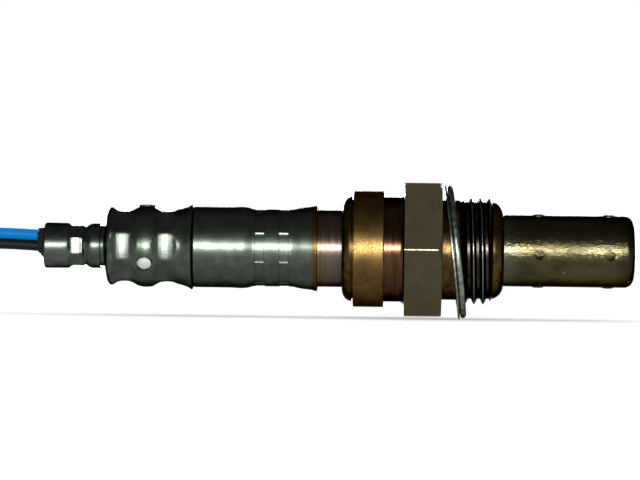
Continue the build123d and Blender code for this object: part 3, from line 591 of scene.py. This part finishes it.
class StageSettings(bpy.types.PropertyGroup):
    """The floor and the light."""

    floor: tint_setting("Floor", "Colour of the floor", "#F2F2F0")
    key: bpy.props.FloatProperty(
        name="Key light", description="Power of each soft box", default=24.0, min=0, subtype="POWER"
    )
    strip: bpy.props.FloatProperty(
        name="Strip light", description="Power of each strip lamp", default=60.0, min=0, subtype="POWER"
    )
    overhead: bpy.props.FloatProperty(
        name="Overhead light", description="Strength of the light from above", default=1.8, min=0
    )


# ---- Body: threaded housing, gasket and gas cover ----

HEXAGON_REAR = -6.17
HEXAGON_CORNER = 12.702
THREAD_FROM = 3.2
THREAD_TO = 8.3
CREST_PLACE = 6.25  # where a crest crosses the top of the thread


def radius_of(place):
    """Distance of a place from the sensor's axis."""
    return math.hypot(place.y, place.z)


def is_hexagon_corner(edge):
    """True for an edge along X where two flats meet."""
    first, second = (vertex.co / MM for vertex in edge.verts)
    outermost = min(radius_of(first), radius_of(second)) > HEXAGON_CORNER - 2 * TOUCH
    return outermost and abs(first.x - second.x) > 1.0


def make_thread(sizes):
    """The thread's ridge: a screwed profile, crossed with the turned envelope that gives it its chamfers."""
    pitch, crest, root = sizes.pitch / MM, sizes.crest_radius / MM, sizes.root_radius / MM
    turns, steps = 5, 96  # steps to a turn
    gap, crest_share, crest_round = 0.06, 0.12, 0.07  # between turns, of the foot's width, and its radius
    sink = 0.3  # how deep the ridge's foot stands in the body
    start = CREST_PLACE - pitch * 3
    clear_selection()
    bpy.ops.mesh.primitive_plane_add(
        size=1, location=(start * MM, 0, (crest + root - sink) / 2 * MM), rotation=(math.pi / 2, 0, 0)
    )
    ridge = bpy.context.object
    ridge.scale = ((pitch - gap) * MM, (crest - root + sink) * MM, 1)
    settle(ridge, "thread")
    edit(ridge)
    select_places(ridge, lambda place: place.z > root)
    bpy.ops.transform.resize(value=(crest_share, 1, 1), center_override=(start * MM, 0, crest * MM))
    bpy.ops.mesh.bevel(offset=crest_round * MM, segments=2, affect="VERTICES")
    bpy.ops.mesh.select_all(action="SELECT")
    bpy.ops.mesh.delete(type="ONLY_FACE")
    bpy.ops.object.mode_set(mode="OBJECT")
    apply_modifier(
        ridge,
        "SCREW",
        axis="X",
        angle=math.tau * turns,
        screw_offset=pitch * turns * MM,
        steps=steps * turns,
        render_steps=steps * turns,
    )
    edit(ridge)
    bpy.ops.mesh.select_all(action="SELECT")
    bpy.ops.mesh.fill_holes(sides=0)
    bpy.ops.mesh.normals_make_consistent(inside=False)
    bpy.ops.object.mode_set(mode="OBJECT")
    envelope = turn_profile(
        "envelope",
        (THREAD_FROM - 0.3, root - 0.2), (THREAD_FROM, root), (4.25, crest), (7.95, crest),
        (THREAD_TO + 0.12, root - 0.06),
        cap_start=True,
        cap_end=True,
    )
    combine(ridge, envelope, "INTERSECT")
    return ridge


def make_body(sizes, finish):
    """Forged and turned body: lip, boss, groove, hexagon, neck, thread, nose and bore."""
    root = sizes.root_radius / MM
    flats = sizes.hexagon_flats / 2 / MM
    body = turn_profile(
        "threaded_body",
        (-16.5, 6.55), (-16.5, 7.07), ((-16.0, 8.2), (-15.12, 8.73)), (-14.95, 8.73, 0.08),
        (-14.88, 8.25), (-14.68, 8.25), (-14.65, 9.65, 0.16), (-9.6, 9.65, 0.14), (-9.6, 8.78),
        (-9.5, 8.73), (-6.9, 8.73), ((-6.45, 8.93), (HEXAGON_REAR, 9.4)),
        (HEXAGON_REAR, HEXAGON_CORNER), (-0.645, HEXAGON_CORNER), (-0.45, 12.369), (-0.25, 12.027),
        (-0.12, 11.805), (0.0, 11.6), (0.0, 8.3, 0.15), (2.9, 8.3), (THREAD_FROM, root),
        (THREAD_TO, root), (8.6, 8.02), ((9.65, 7.4), (10.25, 6.2)), (10.25, 6.0), (9.42, 6.0),
        (9.42, 6.93), (8.47, 6.93), (8.47, 5.2), (-1.0, 5.2), (-3.4, 7.6), (-15.1, 7.6),
        (-15.1, 6.55),
        closed=True,
    )
    press_flats(body, 6, (HEXAGON_REAR - TOUCH, TOUCH), lambda x: flats)
    edit(body)
    select(body, "EDGE", is_hexagon_corner)
    weigh_selected(0.18)
    bpy.ops.object.mode_set(mode="OBJECT")
    bevel_weighted(body)
    combine(body, make_thread(sizes), "UNION")
    zones = (
        (burnt_steel(finish.burnt), lambda place, normal: True),
        (turned_steel(finish.boss), lambda place, normal: -14.67 < place.x < -9.59),
        (scaled_groove(finish.groove), lambda place, normal: -9.59 < place.x < HEXAGON_REAR - TOUCH),
        (forged_steel(finish.hexagon), is_forged),
        (rubbed_corner(), is_rubbed),
        (rolled_thread(sizes.crest_radius / MM), lambda place, normal: 3.0 < place.x < 8.42),
    )
    paint(body, zones)
    return shade(body)


def is_forged(place, normal):
    """True on the hexagon: its flats and both of its faces."""
    return HEXAGON_REAR - TOUCH < place.x < TOUCH / 2 and radius_of(place) > 8.35


def is_rubbed(place, normal):
    """True on the rounded corners between the hexagon's flats, away from its chamfers."""
    side = math.radians(60)
    off_flat = abs(math.atan2(normal.z, normal.y) % side - side / 2)
    return -6.0 < place.x < -0.6 and radius_of(place) > 12.3 and off_flat > math.radians(8)


def paint(piece, zones):
    """Gives faces their materials. Each later zone's test takes faces from those before it."""
    piece.data.materials.clear()
    edit(piece)
    for number, (material, wanted) in enumerate(zones):
        piece.data.materials.append(material)
        select(piece, "FACE", lambda face: wanted(face.calc_center_median() / MM, face.normal))
        piece.active_material_index = number
        bpy.ops.object.material_slot_assign()
    bpy.ops.object.mode_set(mode="OBJECT")


def make_gasket(sizes):
    """Crush gasket folded from strip: a thin flange, an open fold and a rolled band, with three claws."""
    rim, half = 11.2, 0.7  # radius and half width, which set how high the tilted gasket stands
    gasket = turn_profile(
        "crush_gasket",
        (-half, 9.3), (-half, rim, 0.04), (-0.42, 11.15, 0.04), (-0.3, 9.75), (-0.2, 9.75),
        (-0.28, 10.75), ((-0.18, 11.0), (0.05, 11.12)), ((0.5, 11.0), (0.7, 10.6)), (0.7, 9.3),
        (0.55, 9.15), (-0.55, 9.15),
        closed=True,
    )
    bevel_weighted(gasket, segments=2)
    for turn in (60, 180, 300):
        clear_selection()
        bpy.ops.mesh.primitive_cube_add(size=1, location=(0.15 * MM, 0, 9.1 * MM))
        claw = bpy.context.object
        claw.scale = (0.45 * MM, 2.2 * MM, 0.75 * MM)  # along, across and out
        settle(claw, "claw")
        edit(claw)
        bpy.ops.mesh.select_all(action="SELECT")
        bpy.ops.mesh.bevel(offset=0.1 * MM, segments=3, affect="EDGES")
        bpy.ops.transform.rotate(value=math.radians(turn), orient_axis="X", center_override=(0, 0, 0))
        bpy.ops.object.mode_set(mode="OBJECT")
        combine(gasket, claw, "UNION")
    tilt = sizes.gasket_tilt
    lowest = rim * math.cos(tilt) + half * math.sin(tilt)
    gasket.rotation_euler = (0, -tilt, 0)
    gasket.location = (2.33 * MM, 0, (FLOOR + lowest) * MM)
    pick(gasket)
    settle(gasket, "crush_gasket")
    return shade(gasket)


def make_gas_cover(sizes):
    """Drawn cover over the sensing tip: closed domed end, and two rows of pierced holes with raised rims."""
    cover = turn_profile(
        "gas_cover",
        (9.38, 6.85), (9.38, 5.95, 0.1), (30.45, 5.95), ((31.42, 5.53), (31.9, 4.55)), (32.15, 2.2),
        (32.2, 0.8),
        cap_end=True,
    )
    bevel_weighted(cover, segments=2)
    wall(cover, sizes.cover_wall / MM, rim_bevel=0.04)
    for x in (16.07, 27.68):
        for quarter in range(4):
            turn = -7.4 + 90 * quarter
            combine(cover, radial_pin(x, 0.98, 5.6, 6.06, turn, bevel=0.08), "UNION")
            combine(cover, radial_pin(x, 0.78, 5.0, 7.0, turn))
    return shade(cover)


# ---- Covers behind the body ----

SLEEVE_CRIMPS = ((-30.9, -29.3), (-26.9, -25.3))  # rear and front edge of each
BAND_RADIUS = 6.44
CRIMP_RADIUS = 6.34


def band_steps(band, crimp, wider=0.0):
    """The profile of the drawn-in stretch with its two crimps."""
    steps = [(-31.2, band)]
    for rear, front in SLEEVE_CRIMPS:
        low, high = rear - wider, front + wider
        steps += [(low, band), (low + 0.06, crimp), (high - 0.06, crimp), (high, band)]
    return steps


def raise_ridges(piece, reach, low, high):
    """Lifts the eight low ridges that a ring of round jaws leaves, where two of them meet."""
    edit(piece)
    for number in range(JAWS):
        turn = math.tau * (number + 0.5) / JAWS
        top = Vector((0, math.cos(turn), math.sin(turn)))

        def on_ridge(place):
            inside = reach[0] < place.x < reach[1] and abs(radius_of(place) - low) < TOUCH
            return inside and place.dot(top) > low * math.cos(math.radians(1.3))

        select_places(piece, on_ridge)
        bpy.ops.transform.translate(value=top * (high - low) * MM)
    bpy.ops.object.mode_set(mode="OBJECT")


def make_neck_tube():
    """Flanged tube under the body's lip, pressed to the sleeve by the same crimps."""
    grown = 0.32
    tube = turn_profile(
        "neck_tube",
        (-38.0, 6.4), (-32.6, 6.4),
        *band_steps(BAND_RADIUS - grown, CRIMP_RADIUS - grown, 0.12),
        (-24.9, BAND_RADIUS - grown), (-24.2, 6.22), (-23.2, 6.4), (-15.2, 6.4), (-15.05, 6.5),
        (-15.05, 7.5),
    )
    wall(tube, 0.4)
    return shade(tube)


def make_sleeve(sizes):
    """Stepped sleeve: vented tail, rounded shoulder, a drawn-in band with two crimps, and a flared front."""
    sleeve = turn_profile(
        "stepped_sleeve",
        (-54.2, 4.95), (-41.68, 4.95), ((-41.43, 5.05), (-41.33, 5.3)), (-41.33, 6.27),
        ((-41.2, 6.59), (-40.88, 6.72)), (-34.9, 6.72), (-34.2, 6.76), (-33.6, 6.8), (-33.0, 6.79),
        (-32.5, 6.75), (-32.0, 6.66), (-31.5, 6.5),
        *band_steps(BAND_RADIUS, CRIMP_RADIUS),
        (-25.0, 6.44), (-24.6, 6.47), (-24.2, 6.56), (-23.6, 6.7), (-22.9, 6.81), (-21.9, 6.9),
        (-21.2, 7.04), (-20.67, 7.2),
    )
    for rear, front in SLEEVE_CRIMPS:
        raise_ridges(sleeve, (rear, front), CRIMP_RADIUS, BAND_RADIUS)
    wall(sleeve, sizes.sleeve_wall / MM)
    for number in range(6):
        combine(sleeve, radial_pin(-49.15, 0.8, 4, 6, 60 * number, sides=24))
    return shade(sleeve)


def make_filter_cover():
    """Drawn cover over the filter: neck, coned end, two eight-jaw crimps, a bulge with vents and a flare."""
    cover = turn_profile(
        "filter_cover",
        (-58.2, 3.3), (-56.25, 3.3), ((-56.07, 3.37), (-56.0, 3.55)), (-55.62, 5.7),
        ((-55.28, 6.35), (-54.67, 6.7)), (-54.2, 6.5), (-53.7, 6.28), (-53.2, 6.22), (-51.9, 6.18),
        (-51.3, 6.24), ((-48.9, 6.78), (-46.9, 6.26)), (-46.4, 6.22), (-44.9, 6.2), (-44.2, 6.22),
        (-43.4, 6.32), (-42.25, 6.7), (-41.5, 7.15),
        fine=[(-54.3, -51.1), (-47.9, -43.3)],
        spacing=0.14,
    )
    crimp(cover, -52.75, 5.7, 0.2, 2.6, soften=2, crown=0.22)
    crimp(cover, -45.65, 5.74, 0.2, 2.8, soften=2, crown=0.22)
    wall(cover, 0.4)
    for third in range(3):
        turn = 120 * third - 25.4
        combine(cover, radial_pin(-49.15, 1.38, 6.3, 6.86, turn, bevel=0.1), "UNION")
        combine(cover, radial_pin(-49.15, 1.2, 5.6, 8.0, turn))
    return shade(cover, machined=False)


def make_ferrule():
    """Ferrule round the bush: rolled rim, eight-jaw crimp, lock groove and a bell over the cover's neck."""
    ferrule = turn_profile(
        "lead_ferrule",
        (-66.1, 3.1), (-66.1, 3.5), ((-66.0, 3.72), (-65.7, 3.78)), (-62.3, 3.78),
        ((-62.1, 3.72), (-61.8, 3.6)), (-59.75, 3.56), (-59.35, 3.0), (-58.95, 3.32),
        ((-58.5, 3.62), (-57.9, 3.72)), (-56.75, 3.7),
        fine=[(-61.9, -59.6)],
        spacing=0.16,
    )
    crimp(ferrule, -60.7, 3.27, 0.55, 0.9)
    wall(ferrule, 0.35, rim_bevel=0.06)
    return shade(ferrule, machined=False)


# ---- Lead ----

LEAD_Z = -9.0
TIE_Z = -8.15
BORE_OFFSET = 2.3
# Each wire: the separator bore it comes from (Y, Z sign), and its place in the bundle (Y, Z).
WIRES = {
    "blue": ("wire_blue", (-1, 1), (-1.19, 0.87)),
    "black_front": ("wire_black_1", (-1, -1), (-0.6, -0.87)),
    "white": ("wire_white", (1, 1), (0.64, 0.87)),
    "black_back": ("wire_black_2", (1, -1), (1.24, -0.87)),
}
# The bundle's middle, from the end of the bush to the sleeving's mouth.
BUNDLE_ROUTE = (
    (-57.0, 0.0, -0.15), (-68.0, 0.0, 0.93), (-79.0, 0.2, 1.15), (-97.0, 0.0, -8.4),
    (-107.0, 0.0, -8.4),
)
SLOPE_POINTS = (2, 3)
SLOPE_SHIFT = -0.25  # along the slope the upper wires stand back as well as up
LEAD_ROUTE = (
    (-107.0, 0.0, -8.4), (-119.0, 0.0, -8.4), (-131.0, -2.4, LEAD_Z), (-143.0, -2.8, TIE_Z),
    (-158.5, -2.8, TIE_Z), (-171.0, -4.9, LEAD_Z), (-187.0, -12.8, LEAD_Z), (-204.5, -19.4, LEAD_Z),
    (-219.5, -14.6, LEAD_Z), (-226.0, -0.2, LEAD_Z), (-219.8, 14.4, LEAD_Z), (-204.8, 19.6, LEAD_Z),
    (-187.0, 13.0, LEAD_Z), (-171.2, 4.9, LEAD_Z), (-158.5, 2.8, TIE_Z), (-141.5, 2.8, TIE_Z),
    (-131.0, 5.9, -7.6), (-121.0, 11.0, -6.3), (-112.2, 13.0, -5.6),
)


def make_cord(name, route, radius, material):
    """A round cord on one smooth spline whose control points are the route."""
    curve = bpy.data.curves.new(name, "CURVE")
    curve.dimensions = "3D"
    spline = curve.splines.new("NURBS")
    spline.points.add(len(route) - 1)
    for point, place in zip(spline.points, route):
        point.co = (*(value * MM for value in place), 1.0)
    spline.order_u = 3
    spline.use_endpoint_u = True
    spline.resolution_u = 16
    spline.use_smooth = True
    curve.bevel_depth = radius * MM
    curve.bevel_resolution = 8
    curve.use_fill_caps = True
    curve.materials.append(material)
    cord = bpy.data.objects.new(name, curve)
    bpy.context.scene.collection.objects.link(cord)
    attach(cord, "root")
    return cord


def wire_route(bore, lay):
    """A wire's control points, from its terminal to the sleeving's mouth."""
    across, above = lay
    start = [BORE_OFFSET * sign for sign in bore]
    route = [(-41.45, *start), (-47.2, *start)]
    for number, (x, y, z) in enumerate(BUNDLE_ROUTE):
        shift = SLOPE_SHIFT * math.copysign(1, above) if number in SLOPE_POINTS else 0
        route.append((x + shift, y + across, z + above))
    return route


def dress(piece, slot, *nodes):
    """Seats a finished piece on the body in the CAD nodes' place, and hides those nodes. Slot is not used.
    Stops the script where a cut or a join has left the piece empty."""
    if not piece.data.polygons:
        raise RuntimeError(f"{piece.name} has no faces")
    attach(piece, "root")
    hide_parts(*nodes)


def coat(piece, material):
    """Gives a finished piece, or a CAD node's object, its one material."""
    piece.data.materials.clear()
    piece.data.materials.append(material)


def coat_nodes(*finishes):
    """Gives CAD nodes their materials. A finish is a material and the names of its nodes."""
    for material, *names in finishes:
        for name in names:
            coat(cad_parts[name], material)


# ---- Operators ----


class SENSOR_OT_stage(bpy.types.Operator):
    """Lay the floor, hang the lights and place the camera"""

    bl_idname = "sensor.stage"
    bl_label = "Stage"

    def execute(self, context):
        settings = context.scene.sensor_stage
        make_floor(settings)
        make_world()
        make_lamps(settings)
        make_camera()
        return {"FINISHED"}


class SENSOR_OT_lead(bpy.types.Operator):
    """Model the four wires and the folded lead"""

    bl_idname = "sensor.lead"
    bl_label = "Wires and lead"

    def execute(self, context):
        finish = context.scene.sensor_finish
        grey = moulded_plastic("grey_nylon", "#3C3F42", "#4B4E51")
        coat_nodes(
            (silicone("black_rubber", colour("#1A1A1B")), "wire_bush", "sleeve_end_band", "connector_boot"),
            (grey, "connector_housing", "connector_lock"),
            (moulded_plastic("orange_silicone", "#B4521C", "#C86428"), "connector_seal"),
            (rolled_strip("tinned_brass", "#A7A59C", "#C4C2BA"), "connector_terminals"),
            (moulded_plastic("black_nylon", "#141415", "#202022"), "hank_tie"),
        )
        skins = {
            "blue": silicone("blue_silicone", finish.blue),
            "white": silicone("white_silicone", finish.white),
            "black_front": silicone("black_silicone", finish.black),
        }
        skins["black_back"] = skins["black_front"]
        for name, (node, bore, lay) in WIRES.items():
            wire = make_cord(f"lead_{name}", wire_route(bore, lay), 0.9, skins[name])
            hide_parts(node)
        sleeving = make_cord("lead_sleeving", LEAD_ROUTE, 2.5, coated_sleeving(length=258, diameter=5))
        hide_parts("lead_run", "lead_hank", "lead_tail")
        on_it = ("sleeve_end_band", "hank_tie", "connector_boot", "connector_housing", "connector_seal")
        on_it += ("connector_lock", "connector_terminals")
        return {"FINISHED"}


class SENSOR_OT_body(bpy.types.Operator):
    """Model the threaded body with its hexagon, boss and groove"""

    bl_idname = "sensor.body"
    bl_label = "Threaded body"

    def execute(self, context):
        body = make_body(context.scene.sensor_sizes, context.scene.sensor_finish)
        dress(body, "housing_steel", "hex_housing")
        return {"FINISHED"}


class SENSOR_OT_gasket(bpy.types.Operator):
    """Model the loose crush gasket"""

    bl_idname = "sensor.gasket"
    bl_label = "Crush gasket"

    def execute(self, context):
        gasket = make_gasket(context.scene.sensor_sizes)
        coat(gasket, plated_strip())
        dress(gasket, "gasket_steel", "seat_gasket")
        return {"FINISHED"}


class SENSOR_OT_gas_cover(bpy.types.Operator):
    """Model the pierced gas cover, and finish the cover inside it"""

    bl_idname = "sensor.gas_cover"
    bl_label = "Gas cover"

    def execute(self, context):
        cover = make_gas_cover(context.scene.sensor_sizes)
        stained = stained_cover(context.scene.sensor_finish.cover)
        coat(cover, stained)
        coat(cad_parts["inner_tip_cover"], stained)
        dress(cover, "tip_steel", "outer_tip_cover")
        return {"FINISHED"}


class SENSOR_OT_covers(bpy.types.Operator):
    """Model the neck tube, the stepped sleeve, the filter cover and the ferrule"""

    bl_idname = "sensor.covers"
    bl_label = "Stainless covers"

    def execute(self, context):
        sizes = context.scene.sensor_sizes
        drawn = drawn_stainless()
        pieces = (
            (make_neck_tube(), heat_tinted_stainless(), "neck_steel", "neck_cover"),
            (make_sleeve(sizes), drawn, "cover_steel", "main_sleeve"),
            (make_filter_cover(), drawn, "cover_steel", "vent_cover"),
            (make_ferrule(), drawn, "cover_steel", "bush_ferrule"),
        )
        for piece, material, slot, node in pieces:
            coat(piece, material)
            dress(piece, slot, node)
        return {"FINISHED"}


class SENSOR_OT_inner_parts(bpy.types.Operator):
    """Finish the sensing element, its seals and its contacts"""

    bl_idname = "sensor.inner_parts"
    bl_label = "Inner parts"

    def execute(self, context):
        alumina = fired_ceramic("fired_alumina", "#DAD6CB", "#ECE9E0")
        nickel = rolled_strip("nickel_strip", "#85817A", "#A8A49B")
        coat_nodes(
            (fired_ceramic("fired_zirconia", "#CFC9B8", "#E2DDCD"), "zirconia_cup"),
            (alumina, "heater_rod", "lead_insulator", "packing_insulator"),
            (fired_ceramic("pressed_talc", "#B9B7AE", "#CFCDC4"), "talc_seal"),
            (fired_ceramic("sintered_ptfe", "#FAFCFA", "#FDFDFC"), "vent_filter"),
            (nickel, "cup_seat_washer", "caulking_ring", "disc_spring", "signal_contact"),
            (nickel, "ground_contact", "heater_terminal_1", "heater_terminal_2"),
        )
        return {"FINISHED"}


# ---- Stage ----

FLOOR_REACH = 6.0  # radius in metres
FLOOR_GLOW = 0.38  # what the floor adds to its own light to show white
WHITE_TO, DIM_FROM = 0.085, 0.16  # sines of the heights over the horizon where white ends and dim starts
LAMP_REACH = 2.0  # distance of the soft boxes from the axis, in metres
LAMP_X = -0.06
LAMP_AIM = Vector((-0.03, 0, 0))
LAMP_FOOT = -0.008  # height of the boxes' lower edge
CAMERA_AIM = Vector((-20.25, 0, 1.4))
CAMERA_PLACE = Vector((-6.9, -550, 1.4))
CAMERA_ROLL = 0.7
PICTURE_WIDTH = 106.67  # what the picture's width covers at the sensor's axis


def shown_white(tree, lit, strength):
    """Adds to a lit shader what camera, glossy and transmission rays need to see it as nearly white."""
    path = add(tree, "ShaderNodeLightPath")
    seen = path.outputs["Is Camera Ray"]
    for ray in ("Is Glossy Ray", "Is Transmission Ray"):
        seen = add(tree, "ShaderNodeMath", {0: seen, 1: path.outputs[ray]}, operation="MAXIMUM")
    power = add(tree, "ShaderNodeMath", {0: seen, 1: strength}, operation="MULTIPLY")
    glow = add(tree, "ShaderNodeEmission", {"Color": (1, 1, 1, 1), "Strength": power})
    return add(tree, "ShaderNodeAddShader", {0: lit, 1: glow})


def make_floor(settings):
    """A wide pale floor that keeps the object's soft shadow and shows white."""
    clear_selection()
    level = (0, 0, FLOOR * MM)
    bpy.ops.mesh.primitive_circle_add(vertices=96, radius=FLOOR_REACH, fill_type="NGON", location=level)
    floor = settle(bpy.context.object, "studio_floor")
    material, tree, _, fibre = new_material("white_paper", (0.5, 2.0))
    paper = lay_over(tree, settings.floor, colour("#E8E8E6"), fibre, 0.3, 0.7, most=0.1)
    lit = add(tree, "ShaderNodeBsdfDiffuse", {"Color": paper})
    add(tree, "ShaderNodeOutputMaterial", {"Surface": shown_white(tree, lit, FLOOR_GLOW)})
    floor.data.materials.append(material)


def make_world():
    """A room that is white round the horizon and dim overhead."""
    world = bpy.data.worlds.new("studio")
    bpy.context.scene.world = world
    world.use_nodes = True
    tree = world.node_tree
    tree.nodes.clear()
    way = add(tree, "ShaderNodeTexCoord").outputs["Generated"]
    height = add(tree, "ShaderNodeSeparateXYZ", {"Vector": way}).outputs["Z"]
    grey = lay_over(tree, (1, 1, 1, 1), (0.13, 0.13, 0.13, 1), height, WHITE_TO, DIM_FROM)
    back = add(tree, "ShaderNodeBackground", {"Color": grey, "Strength": 1.0})
    add(tree, "ShaderNodeOutputWorld", {"Surface": back})


def make_lamps(settings):
    """Long soft boxes behind the camera and opposite, each with a wide strip beside it that gives only gloss,
    and a soft light from above that gives the floor its shade and no gloss."""
    for name, side, width, height, power in (
        ("key", -1, 0.65, 0.18, settings.key),
        ("back", 1, 0.65, 0.18, settings.key),
        ("key_strip", -1, 2.6, 0.36, settings.strip),
        ("back_strip", 1, 2.6, 0.36, settings.strip),
    ):
        light = bpy.data.lights.new(name, "AREA")
        light.shape = "RECTANGLE"
        light.size = width
        light.size_y = height
        light.energy = power
        lamp = bpy.data.objects.new(name, light)
        lamp.location = (LAMP_X, side * LAMP_REACH, LAMP_FOOT + height / 2)
        lamp.rotation_euler = (LAMP_AIM - lamp.location).to_track_quat("-Z", "Y").to_euler()
        lamp.visible_camera = False
        lamp.visible_diffuse = not name.endswith("_strip")
        bpy.context.scene.collection.objects.link(lamp)
    light = bpy.data.lights.new("overhead", "SUN")
    light.energy = settings.overhead
    light.angle = math.radians(110)
    lamp = bpy.data.objects.new("overhead", light)
    lamp.location = (0, 0, 1.0)
    lamp.visible_glossy = False
    bpy.context.scene.collection.objects.link(lamp)


def make_camera():
    """The camera at the sensor's height, level with its axis."""
    data = bpy.data.cameras.new("camera")
    camera = bpy.data.objects.new("camera", data)
    bpy.context.scene.collection.objects.link(camera)
    look = CAMERA_AIM - CAMERA_PLACE
    data.lens = data.sensor_width * look.length / PICTURE_WIDTH
    camera.location = CAMERA_PLACE * MM
    turn = look.to_track_quat("-Z", "Y")
    roll = Quaternion((0, 0, 1), math.radians(CAMERA_ROLL))
    camera.rotation_euler = (turn @ roll).to_euler()
    scene = bpy.context.scene
    scene.camera = camera
    scene.view_settings.view_transform = "Standard"


# ---- Panel, registration and run ----

STEPS = ("stage", "lead", "covers", "body", "gasket", "gas_cover", "inner_parts")
CLASSES = (SensorSizes, SensorFinish, StageSettings, SENSOR_OT_stage, SENSOR_OT_lead, SENSOR_OT_covers)
CLASSES += (SENSOR_OT_body, SENSOR_OT_gasket, SENSOR_OT_gas_cover, SENSOR_OT_inner_parts)


class SENSOR_PT_panel(bpy.types.Panel):
    """Lists the steps that model the sensor"""

    bl_idname = "SENSOR_PT_panel"
    bl_label = "Exhaust sensor"
    bl_space_type = "VIEW_3D"
    bl_region_type = "UI"
    bl_category = "Sensor"

    def draw(self, context):
        for step in STEPS:
            self.layout.operator(f"sensor.{step}")
        for group in (context.scene.sensor_sizes, context.scene.sensor_finish, context.scene.sensor_stage):
            box = self.layout.box()
            for name in group.__annotations__:
                box.prop(group, name)


def register():
    """Makes the settings, operators and panel known to Blender."""
    for known in (*CLASSES, SENSOR_PT_panel):
        bpy.utils.register_class(known)
    bpy.types.Scene.sensor_sizes = bpy.props.PointerProperty(type=SensorSizes)
    bpy.types.Scene.sensor_finish = bpy.props.PointerProperty(type=SensorFinish)
    bpy.types.Scene.sensor_stage = bpy.props.PointerProperty(type=StageSettings)


def unregister():
    """Takes them away again."""
    del bpy.types.Scene.sensor_stage
    del bpy.types.Scene.sensor_finish
    del bpy.types.Scene.sensor_sizes
    for known in reversed((*CLASSES, SENSOR_PT_panel)):
        bpy.utils.unregister_class(known)


def main():
    """Registers the add-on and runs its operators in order."""
    register()
    for step in STEPS:
        getattr(bpy.ops.sensor, step)()


if __name__ == "__main__":
    main()
